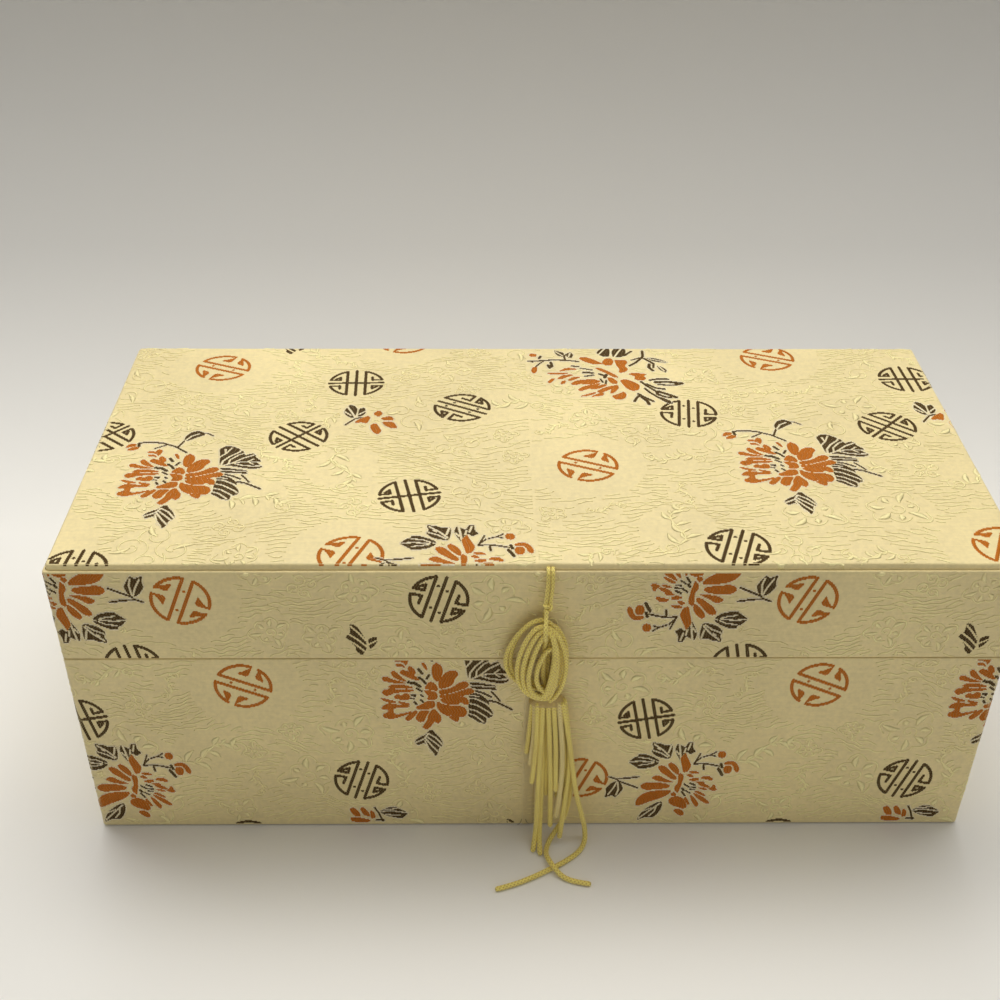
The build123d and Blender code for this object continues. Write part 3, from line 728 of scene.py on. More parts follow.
def add_loop(diameter, silk):
    """Loop of hanger cord from the knot, over the front of the hank's top bundle and up again behind it."""
    x = (LOOP_LOW[0] + LOOP_HIGH[0]) / 2
    front, rear = LOOP_LOW[1] - 0.9 * MM, LOOP_HIGH[1] - diameter / 2
    top, bottom = KNOT_LOW[2] + 2.0 * MM, LOOP_LOW[2] + 6.6 * MM
    middle = (front + rear) / 2
    route = [
        (x + dx * MM, y + dy * MM, z + dz * MM) for dx, y, dy, z, dz in (
            (0.5, middle, -0.6, top, 0.0), (0.4, middle, -1.2, top, -2.0), (0.2, front, 0.6, top, -4.2),
            (0.1, front, -1.0, top, -6.4), (0.1, front, -1.2, bottom, 3.4), (0.3, front, 0.2, bottom, 0.6),
            (0.4, middle, 0.0, bottom, 0.0), (0.2, rear, -0.4, bottom, 1.0), (0.0, rear, -0.05, bottom, 3.4),
            (0.0, rear, -0.25, top, -5.6), (0.3, rear, -0.6, top, -3.0), (0.6, middle, 0.5, top, 0.0),
        )
    ]
    add_cord(
        "hank_loop_cord", route, diameter, silk, "tassel", "hank_loop", (1, 0, 0), HANGER_RELIEF, HANGER_STEP,
    )


def add_neck(diameter, thread):
    """Binding: a helix of thread round a rounded core, its path an oval that climbs with the turn."""
    low, high = np.array(NECK_LOW), np.array(NECK_HIGH)
    centre = (low + high) / 2
    half = (high - low) / 2 - diameter / 2
    height = high[2] - low[2]

    def oval(turn, shrink):
        side, front = (np.sign(wave(turn)) * np.abs(wave(turn)) ** 0.8 for wave in (np.cos, np.sin))
        return centre[0] + half[0] * shrink * side, centre[1] + half[1] * shrink * front

    def shoulder(share):
        return 1 - 0.5 * share**1.4

    turns = int(height / diameter)
    turn = np.linspace(0, turns * 2 * pi, turns * 28)
    x, y = oval(turn, shoulder(turn / turn[-1]) + 0.01 * np.sin(3.1 * turn))
    z = low[2] + diameter / 2 + (height - diameter) * turn / turn[-1]
    mesh = tube_mesh("neck_thread", np.stack([x, y, z], -1), diameter / 2, 8, (0, 0, 1))
    add_piece("neck_thread", mesh, thread, "tassel", ["neck_binding"])
    rows, columns = 9, 48
    share = np.linspace(0, 1, rows)[:, None]
    around = np.linspace(0, 2 * pi, columns, endpoint=False)[None, :]
    x, y = oval(around, shoulder(share) - 0.05 - 0.25 * np.abs(2 * share - 1) ** 8)
    points = surface(x, y, low[2] + height * share).reshape(-1, 3)
    ring = np.arange(columns)
    faces = np.concatenate([
        triangles(grid_faces(rows, columns, True)), fan(len(points), ring[::-1]),
        fan(len(points) + 1, len(points) - columns + ring),
    ])
    poles = [(centre[0], centre[1], z) for z in (low[2], high[2])]
    core = fill_mesh("neck_core", np.concatenate([points, poles]), faces)
    core.uv_layers.new(name="cord")
    add_piece("neck_core", core, thread, "tassel")


def add_tassel():
    """All cords of the tassel."""
    _, cords, colours = settings()
    silk = cord_material("cord_silk", colours.cord)
    faded = cord_material("cord_faded", colours.cord_tan)
    add_hanging_cords(cords.hanger, silk)
    add_loop(cords.hanger, silk)
    add_cord(
        "hank_cord", hank_route(), cords.hank, silk, "tassel", "hank", (0, 1, 0), HANK_RELIEF, HANK_STEP,
    )
    add_neck(cords.binding, cord_material("binding_thread", tinted(colours.cord, 0.92), 0.8 * MM, 2.0))
    strands = [
        (f"fringe_strand_{number + 1:02d}", "fringe_strands", route, faded if number in FADED_STRANDS else silk,
         "hanging") for number, route in enumerate(FRINGE)
    ]
    strands += [(node + "_cord", node, route, silk, "loose") for node, route in LONG_STRANDS.items()]
    for name, node, route, material, lay in strands:
        add_cord(
            name, np.array(route) * MM, cords.strand, material, "tassel", node, (1, 0, 0), STRAND_RELIEF,
        )


# Surfaces that the woven figures lie on

def wall_place(s):
    """Point and outward direction on the box's upright wall, at a distance s from the middle of the front:
    straight runs joined by quarter circles, mirrored for negative distances."""
    radius = settings()[0].corner
    a = np.abs(s)
    front, side = HALF_WIDTH - radius, HALF_DEPTH - radius
    ends = np.cumsum([front, pi / 2 * radius, 2 * side, pi / 2 * radius])
    first, second = (a - ends[0]) / radius, (a - ends[2]) / radius
    inside = [a < end for end in ends]
    zero, one = np.zeros_like(a), np.ones_like(a)
    nx = np.select(inside, [zero, np.sin(first), one, np.cos(second)], zero)
    ny = np.select(inside, [-one, -np.cos(first), zero, np.sin(second)], one)
    bend = front + radius * nx
    x = np.select(inside, [a, bend, one * HALF_WIDTH, bend], front - (a - ends[3]))
    along = [-one * HALF_DEPTH, -side + radius * ny, -side + (a - ends[1]), side + radius * ny]
    y = np.select(inside, along, one * HALF_DEPTH)
    sign = np.where(s < 0, -1.0, 1.0)
    return x * sign, y, nx * sign, ny


def on_wall(s, t, lift):
    """Places on the wall, with t as the height, lifted off it."""
    x, y, nx, ny = wall_place(s)
    return np.stack([x + nx * lift, y + ny * lift, t + np.zeros_like(s)], -1)


PANEL_EDGE = 0.9 * MM
PANEL_PLAN_RADIUS = 1.8 * MM
PANEL_CROWN = 0.35 * MM
PANEL_WAVES = 0.07 * MM
SWELL_RISE = 0.3 * MM
CREASE_DEPTH = 0.22 * MM


def beyond_corner(x, y):
    """How far places lie beyond the middles of the panel's rounded corners."""
    return np.abs(x) - (PANEL_HIGH[0] - PANEL_PLAN_RADIUS), np.abs(y) - (PANEL_HIGH[1] - PANEL_PLAN_RADIUS)


def panel_border(x, y):
    """Distance inwards from the panel's rounded outline."""
    beyond_x, beyond_y = beyond_corner(x, y)
    outside = np.hypot(np.maximum(beyond_x, 0), np.maximum(beyond_y, 0))
    return PANEL_PLAN_RADIUS - outside - np.minimum(np.maximum(beyond_x, beyond_y), 0)


def panel_height(x, y):
    """Height of the padded panel: a quarter circle at the border, a low crown, slow waves of the padding,
    a swell over the cords and a faint crease near the front right corner."""
    border = np.clip(panel_border(x, y), 0, None)
    edge = np.sqrt(np.clip(1 - (1 - np.minimum(border / PANEL_EDGE, 1)) ** 2, 0, 1))
    crown = PANEL_CROWN * np.minimum(border / (50 * MM), 1) ** 0.7
    waves = PANEL_WAVES * (np.sin(x * 61 + 2 * np.sin(y * 47)) + np.sin(y * 83 + 1.3 + 1.5 * np.sin(x * 29)))
    swell = SWELL_RISE * np.exp(-((x - 4.2 * MM) / (2.4 * MM)) ** 2 - ((y - PANEL_LOW[1]) / (9 * MM)) ** 2)
    crease_y = PANEL_LOW[1] + 4.2 * MM - 0.02 * (x - 140 * MM)
    crease = CREASE_DEPTH * np.exp(-((y - crease_y) / (1.4 * MM)) ** 2 - ((x - 141 * MM) / (20 * MM)) ** 2)
    thickness = PANEL_HIGH[2] - PANEL_LOW[2]
    return PANEL_LOW[2] + thickness * edge + (crown + swell - crease + waves) * edge


def on_panel(x, y, lift):
    """Places on the padded panel, lifted along its normal, which comes from differences of its height."""
    delta = 0.1 * MM
    slope_x = (panel_height(x + delta, y) - panel_height(x - delta, y)) / (2 * delta)
    slope_y = (panel_height(x, y + delta) - panel_height(x, y - delta)) / (2 * delta)
    size = np.sqrt(1 + slope_x**2 + slope_y**2)
    return np.stack([
        x - slope_x / size * lift, y - slope_y / size * lift, panel_height(x, y) + lift / size,
    ], -1)


# Figures of the brocade, drawn on the cloth in millimetres, with X along the weft. Petals are outlines in
# orange, lines are (width, points) in dark thread, and leaves are dark outlines cut by veins. The points
# are written as X and Y by turns. A figure of one thread has its leaves and lines in that thread.
Figure = namedtuple("Figure", "petals lines leaves veins thread half_turn")


def figure(petals=(), lines=(), leaves=(), veins=(), thread="both"):
    """Figure whose outlines and lines are arrays of points."""
    def points(values):
        return np.reshape(values, (-1, 2)).astype(float)

    return Figure(
        [points(row) for row in petals], [(width, points(row)) for width, row in lines],
        [points(row) for row in leaves], [(width, points(row)) for width, row in veins], thread, False,
    )


PEONY_SPRAY = figure(
    petals=(
        (-38.6, 87.6, -37.2, 89, -35.6, 87.8, -34.9, 85.4, -35.4, 82.6, -36.8, 79.6, -38.3, 81.2, -38.9,
        84.6), (-36.5, 79.2, -35, 82.3, -33.5, 84.4, -31.2, 85.3, -29.6, 84.6, -29.2, 83, -30.6, 81.1, -30.9,
        79.2, -32.4, 77.2, -36.2, 75.9), (-41.8, 76.2, -40.6, 78.6, -39.5, 79.6, -37.8, 78.4, -36.9, 76,
        -37.2, 75.1, -39.4, 75.5), (-42, 75.3, -40.2, 74.9, -38, 74.4, -37.2, 73, -37.2, 71.4, -38.4, 70.2,
        -41, 70.6, -40.2, 72.2, -41.2, 73.6), (-36.3, 75.1, -33, 75.7, -30.6, 77.1, -28.6, 79, -26.4, 79.8,
        -25.2, 78.3, -26, 76.6, -30, 74.8, -33.5, 73.5, -36.3, 73.5), (-36.2, 72.8, -33.4, 72.7, -29.8, 74,
        -25.6, 75.9, -24, 75.8, -23.1, 74.7, -24.2, 73.5, -27.4, 72.6, -31, 71.4, -36, 71.4), (-36, 70.8, -31,
        70.9, -27.2, 72, -25.6, 70.4, -25.3, 67.8, -26.8, 68, -28.4, 69.4, -29.4, 67.9, -32.8, 67.9, -35.2,
        69.1), (-37.2, 69.4, -35.6, 68.1, -33, 67.2, -29.2, 67.2, -26.8, 66, -26, 63.6, -27, 61.6, -28.8,
        61.3, -30.6, 62.9, -33.4, 61.9, -35.8, 63.7, -37.3, 66.4), (-32.9, 61.4, -30.6, 62.2, -29, 60.9,
        -29.4, 59.2, -30.2, 59, -31.8, 60.2), (-45.4, 66.5, -43.2, 67.7, -41, 69.5, -38.7, 69.8, -38.1, 68,
        -38.4, 66.5, -41, 65.5, -44.4, 65.2), (-45, 62.4, -43.8, 64.5, -40.2, 64.7, -41.7, 61.6, -42.6, 59,
        -44.2, 58.6, -45.6, 60.4), (-39.4, 64.8, -38.4, 65.5, -37.5, 64, -36, 61.6, -36, 59.4, -37, 58, -38.6,
        59, -39.2, 58, -40, 56.4, -41.4, 54.9, -43.1, 55.6, -42.4, 57.2, -41, 59.6, -40.8, 62), (-49.6, 60.6,
        -48.2, 62.4, -45.4, 64.9, -44.9, 63.9, -46.1, 61.8, -47.8, 59.7, -49.2, 59.6), (-58.6, 65.6, -57.6,
        67.3, -55.4, 68.5, -53.6, 67.8, -50.5, 67.6, -47.8, 67.2, -48.6, 66.5, -53.6, 66.3, -54.2, 65.2, -54,
        63, -52.6, 62.5, -48.4, 63.6, -47.2, 64.4, -47.8, 63.3, -51.6, 61.6, -53.2, 60.9, -55.2, 60.4, -57.8,
        61.2, -58, 62.6, -56, 63.8, -55.6, 65.2), (-58.6, 71.4, -56.4, 70.6, -53, 69.4, -53.4, 68.9, -56.2,
        69.3, -57.8, 70.3), (-52, 69.5, -50, 68.9, -47.8, 68.3, -48.2, 67.6, -51.2, 68.3), (-53.4, 72, -52.2,
        73, -50.4, 72.4, -49.4, 73.6, -48, 73.2, -47.4, 71.4, -48.6, 70.2, -51.4, 70.7, -53.2, 71.2), (-58,
        74, -57, 75.5, -54.6, 75.9, -51.4, 75.6, -48, 75.8, -45.8, 75.2, -47.6, 74.6, -50.4, 74.3, -53, 74.2,
        -55, 73, -56.4, 72.4), (-55.6, 77, -54, 78, -50.6, 78.2, -47.8, 77.3, -46, 76.5, -48.4, 76.4, -52.2,
        76.4, -54.4, 76.4), (-57.6, 81.6, -56.2, 82.3, -54, 80.8, -50.6, 79.6, -48.8, 78.8, -52, 78.9, -55,
        79.6, -57.2, 80.2), (-54.2, 84.2, -53.2, 85.2, -52, 84, -50.2, 81.6, -48.4, 79.8, -50.8, 80.5, -53.2,
        81.9), (-51, 84.2, -49.8, 85.6, -47.6, 84.6, -45.2, 82.4, -43.6, 80.3, -45.8, 80.8, -48.6, 82.4),
        (-47.8, 86.4, -47, 87.5, -45.6, 86, -45, 84.1, -45.6, 83.4, -47.4, 84.9), (-53.2, 90.4, -51.4, 91.3,
        -50, 90.4, -49.2, 92.3, -48, 92.2, -47.6, 90.4, -48.4, 87.9, -49.2, 89.4, -50.8, 89.9), (-52.2, 88.6,
        -50.4, 88.7, -48.8, 87, -50, 87.4, -51.8, 87.5), (-42.6, 88.8, -42, 89.3, -41, 87.6, -40.6, 85.4,
        -41.5, 86.4), (-61.6, 93.8, -60.6, 96.2, -58.6, 96.8, -57.8, 95.6, -59.4, 94.6), (-60.6, 92.4, -58.6,
        94.4, -56.6, 94.4, -57, 92.8, -59.2, 91.6),
    ),
    lines=(
        (1.3, (-43.8, 85.9, -42.6, 83.8)), (1.1, (-40, 83, -40.9, 81.2)), (1.2, (-43.8, 81.8, -42.4, 80.4,
        -41.4, 78.8)), (1.5, (-47.8, 79.3, -45.6, 79, -43.6, 77.2)), (1, (-44.8, 76.2, -43, 74.8)), (1.4,
        (-46.6, 72.8, -45.6, 72.6)), (1, (-43.3, 72.7, -42.6, 72.2)), (0.8, (-47.2, 71.2, -46, 70.8)), (1,
        (-43.4, 70.3, -42.6, 69.2)), (1.1, (-45.8, 69.2, -45.2, 68.2)), (1, (-57.2, 97.3, -53, 98, -48.5,
        97.2, -43.5, 94.6, -38.7, 90.2)), (0.9, (-50.6, 93.2, -46.4, 96.2)), (1, (-42.4, 94.4, -41, 98.6)),
        (1.3, (-57.2, 97, -56.8, 95)), (0.8, (-36, 104.6, -33.2, 104.4, -30.8, 102.4)), (1, (-22.4, 74.8,
        -19.8, 73.8, -16.8, 71.8)), (0.9, (-16.6, 74.4, -15, 72.2, -13.4, 69.6)), (1, (-17.4, 69.9, -14.6, 69,
        -11.6, 67, -8.9, 65.2)),
    ),
    leaves=(
        (-27.2, 92.6, -26.6, 89.6, -26, 86, -25.8, 83, -25.2, 80.4, -23.4, 80.8, -20, 80.4, -16, 79, -11, 79,
        -9.8, 80.6, -12, 82.5, -10.8, 84.4, -12.4, 86, -13.2, 87.2, -13.4, 89.4, -15, 89.6, -17.2, 88.2, -18,
        90.9, -19.6, 92.6, -22, 94.4, -25, 95), (-25, 79.4, -24.6, 76.6, -22.4, 75.9, -19.4, 75.8, -14.2,
        75.2, -15.2, 76, -14.8, 77.6, -18, 78.3, -22, 79.2), (-41, 98, -41.2, 102, -39.6, 105.2, -37, 106.4,
        -34.8, 105.2, -33.8, 103.2, -36.4, 101.6, -38.8, 99.4), (-25.3, 72.8, -23, 74, -20.4, 72.8, -18.4,
        70.6, -17.4, 68.8, -17.6, 66.6, -16, 63.8, -16.2, 61.2, -18.4, 60.8, -18.6, 57.8, -21.4, 58.2, -23.2,
        60, -25.8, 61.8, -25.2, 64.2, -25.5, 67, -25, 69.8), (-46.4, 48.4, -44.6, 50.4, -42.2, 51.8, -40.9,
        53.9, -39.4, 54.8, -38.2, 52.4, -36.4, 50, -35.4, 47.4, -35.9, 45.2, -37, 44.4, -37.3, 42.2, -38.3,
        39.8, -40.6, 42.6, -41.8, 45.6, -42.8, 47.4, -45.4, 45.8),
    ),
    veins=(
        (0.55, (-25, 80.6, -24.6, 84, -22.6, 87.4, -19.6, 90.4, -18.6, 93)), (0.55, (-24.2, 80.9, -21, 82.8,
        -17.6, 86.2, -13.4, 88.8)), (0.5, (-21, 82.8, -18, 83.4, -15.5, 83.6, -11, 83.2)), (0.5, (-20.4, 82.4,
        -17.6, 81.2, -13.8, 80.6, -10, 80.9)), (0.5, (-26, 87.2, -24.2, 89.6, -22.6, 93.6)), (0.5, (-24.4,
        89.6, -24.9, 92.5)), (0.45, (-22.4, 82, -22.2, 85, -19.4, 88.6, -17.6, 89.6)), (0.45, (-15.6, 83.9,
        -13.8, 85.6)), (0.45, (-15.2, 83.3, -13.4, 81.8)), (0.45, (-24.8, 77.8, -20.4, 77.3, -15.4, 76.8)),
        (0.5, (-40.8, 98.6, -38.8, 102.4, -35.6, 104.6)), (0.55, (-25.8, 71.2, -22.6, 70.8, -18.8, 68.4, -17,
        66.4)), (0.5, (-25.6, 68.6, -22.4, 67.6, -17.8, 64, -16.4, 62.4)), (0.5, (-25.6, 65.6, -22.6, 64.6,
        -19, 61.6, -17.6, 60)), (0.5, (-25.4, 63.2, -22.8, 62, -19.6, 58.6)), (0.45, (-24.6, 72.6, -21.4,
        72)), (0.55, (-45.9, 47.6, -42.6, 49.6, -41, 52.4)), (0.5, (-41.7, 50.8, -38.8, 47.8, -36.2, 44.8)),
        (0.5, (-40.9, 52.4, -38.2, 50.2, -35.8, 46.6)), (0.5, (-42, 49.4, -39.8, 45.8, -37.4, 42.4)), (0.5,
        (-42.4, 48.6, -41.2, 44.4, -39.2, 41.2)),
    ),
)

PEONY_CROWN = figure(
    petals=(
        (58.6, 40.6, 59.6, 41.6, 60.4, 39.2, 61.6, 36.6, 62.4, 34.2, 61.6, 31.4, 59.8, 30.4, 59.2, 33.6, 58.2,
        37.6), (53.4, 35.2, 54.6, 36, 56.6, 34.2, 57.9, 31.6, 57.8, 29, 55.8, 31, 54.3, 32.9), (49.4, 33.6,
        50.8, 34.4, 52.4, 33.6, 53.6, 32.2, 55, 30.2, 57, 28, 57.3, 26.6, 55.4, 26.8, 53.2, 28.8, 51, 30.6),
        (47.4, 27.2, 48.6, 28.4, 50.6, 28.4, 52.2, 27, 54.6, 25.7, 56.2, 24.8, 53.4, 25.1, 50.4, 25.5), (43.4,
        23.2, 45.4, 24.6, 49.6, 24.6, 53, 24, 55, 22.8, 54.2, 21.6, 50, 20.9, 45.4, 20.6, 43.6, 21.6), (42,
        13.4, 42.6, 15.6, 44.4, 18, 47.2, 19.4, 51, 20, 55, 20.3, 55.6, 19.4, 54.2, 17.4, 51, 15.4, 47, 13.6,
        44, 11.8, 42.2, 11.2), (58.4, 30, 59.6, 29.2, 60, 27.4, 59.6, 25.2, 59.4, 23, 58.8, 20.6, 58.4, 18.9,
        57.2, 20.4, 57, 22, 58.2, 24, 58.2, 26.6, 58, 28.4), (55.2, 14.6, 56.2, 16, 57.8, 16.4, 59.6, 16.2,
        61, 15, 62.4, 12.2, 62.6, 10.2, 61.4, 9.4, 59.4, 10.4, 57, 11.4, 55.6, 12.8), (55.8, 18.2, 57, 19, 58,
        17.5, 57.4, 16.9, 56.2, 17.1), (57.6, 8.4, 58.8, 9.2, 60.6, 8.6, 61.8, 7, 61.8, 5.4, 60.6, 5.2, 59,
        6.6), (61.8, 16.2, 62.8, 14.4, 63.8, 12, 63.3, 11.6, 62.6, 12.9, 61.5, 15.3), (63.6, 17.2, 64.8, 16.4,
        66.4, 14, 67.4, 12, 66.8, 10.4, 65.8, 11.6, 64.6, 14), (64.8, 18.6, 66.2, 17.8, 69.4, 15.6, 71.8,
        12.8, 71, 12.2, 68.6, 13.8, 66.2, 16.2), (65, 19.7, 67, 19.4, 69.4, 17.5, 69.6, 16.8, 67.4, 17.9),
        (66.2, 24, 68, 24.2, 70, 23, 71.2, 21.8, 70, 21.7, 67.8, 22.6), (70.6, 21, 72, 21.8, 72.4, 23.4, 73.2,
        22.6, 73.4, 21, 74.2, 20.4, 72.6, 20), (67, 27.2, 68.4, 28.2, 70.4, 28, 72, 26.4, 71.2, 26, 69, 26.6),
        (61.8, 30.6, 63.6, 31.4, 66.2, 30.2, 64.6, 29.7), (61.2, 28.8, 62.4, 29.6, 64, 28.2, 63, 27.8), (62.2,
        26.4, 64.2, 26.9, 66, 27.2, 66.2, 26, 64.2, 25.5), (65.2, 24.9, 67.2, 25.3, 69, 24.4, 66.8, 24.4),
        (66.2, 21.8, 68.6, 21.4, 70.4, 20.4, 68.4, 20.6), (72.6, 40.6, 73.2, 42, 74.6, 42.3, 75.6, 41, 75.6,
        39.4, 74.4, 38.6, 73, 39.2), (75.4, 35.4, 77, 36.6, 79.4, 36.4, 80.8, 34.8, 81.8, 32, 81.2, 30.4, 80,
        31.6, 79.6, 33.6, 78.4, 35.2, 76.4, 35), (75.6, 32.4, 76.2, 34, 77.8, 34.3, 78.8, 33, 78.6, 30.6,
        77.2, 29.6, 76, 30.6),
    ),
    lines=(
        (0.9, (60.8, 23.6, 62.6, 22.2)), (1.2, (60.1, 21.2, 60.7, 20.2)), (1, (63, 24.2, 65, 23.2)), (0.8,
        (63.4, 22, 65.4, 21.7)), (0.8, (63.2, 20.7, 65.2, 20.4)), (0.8, (61.6, 19.9, 63.6, 18.4)), (0.9,
        (60.1, 19.3, 61.5, 17)), (1.2, (41.4, 33.6, 44.2, 33.4, 47.2, 34.2, 49, 35.8)), (0.9, (41.6, 40.3,
        44.4, 40.1, 47, 38.9, 49.2, 37.2)), (0.8, (63.7, 35.5, 64.6, 38, 65.6, 40.8)), (0.9, (64.2, 36.6, 66,
        38.6)), (0.8, (67, 39.2, 69.6, 40.2, 71.8, 41.8)), (0.8, (70.4, 40.1, 71.8, 39.5)), (0.9, (63.6, 35.4,
        67, 35.5, 70.4, 34.9, 73.8, 33.9)), (1, (67.4, 34.6, 67.7, 32.2)), (1.3, (74.3, 35.2, 74.9, 33.2)),
        (1.4, (73.5, 32.4, 74.5, 30.6, 75.3, 28.9)), (0.9, (30.4, 28, 33, 26.9, 37, 27.1, 42.2, 28)), (0.9,
        (34, 25.7, 38, 23.7, 42, 21.7)),
    ),
    leaves=(
        (37.6, 36.4, 39.4, 38.8, 42, 40.2, 45.6, 40, 49, 37, 47.4, 34.4, 44.2, 33.2, 40.8, 33.6, 39, 35), (46,
        47.2, 49.4, 46.8, 51.8, 45.4, 54.4, 46.2, 54.6, 42.4, 54, 38.4, 51.4, 38.4, 48, 39.8, 46, 42.4, 47,
        44.2), (56.2, 46.8, 58.2, 45.4, 59.4, 44.4, 60.2, 47.2, 62.4, 47.4, 62.4, 44.2, 63.9, 42.1, 61.6,
        40.6, 60.2, 42, 58.6, 40, 57.8, 37.4, 56.2, 40.8, 55.4, 43.6), (42.8, 2.4, 44.2, 6.6, 46.4, 9.8, 50.2,
        13, 52.6, 13.8, 52.8, 10.4, 51.4, 6.4, 49.4, 4, 46.8, 4.6), (34.2, 26.2, 31.4, 24.6, 29.2, 21.4, 29.6,
        18.8, 28.9, 15.8, 32, 17.4, 33.4, 16, 35, 18.4, 36.4, 21, 35.6, 23.8),
    ),
    veins=(
        (0.55, (38.4, 36.4, 42.2, 37, 47.4, 36.2)), (0.45, (41.4, 38.9, 45, 38.6, 47.8, 37.1)), (0.45, (41.8,
        34.6, 45.4, 35.2, 47.6, 35.9)), (0.55, (47.2, 46.2, 50.6, 43.2, 53.4, 39.8)), (0.5, (46.8, 42.9, 50.2,
        41.3, 52.8, 39.2)), (0.5, (53.8, 45.4, 53, 41.6)), (0.45, (48.4, 44.2, 49.6, 43.2)), (0.55, (57, 46,
        57.6, 42.2, 58, 38.8)), (0.5, (61.4, 46.6, 60.6, 43.2)), (0.5, (59.6, 44, 59.2, 41.4)), (0.45, (56,
        42.6, 57.2, 40.6)), (0.55, (43.8, 3.8, 47.4, 7.8, 51.8, 12.6)), (0.45, (45.4, 8.2, 48.4, 9.8)), (0.5,
        (47.8, 5, 49.8, 7.8, 50.4, 10.8)), (0.5, (33.8, 25.6, 32.4, 21.6, 30.4, 17.8)), (0.5, (34, 24.8, 34.4,
        20.4, 33.6, 17.4)),
    ),
)

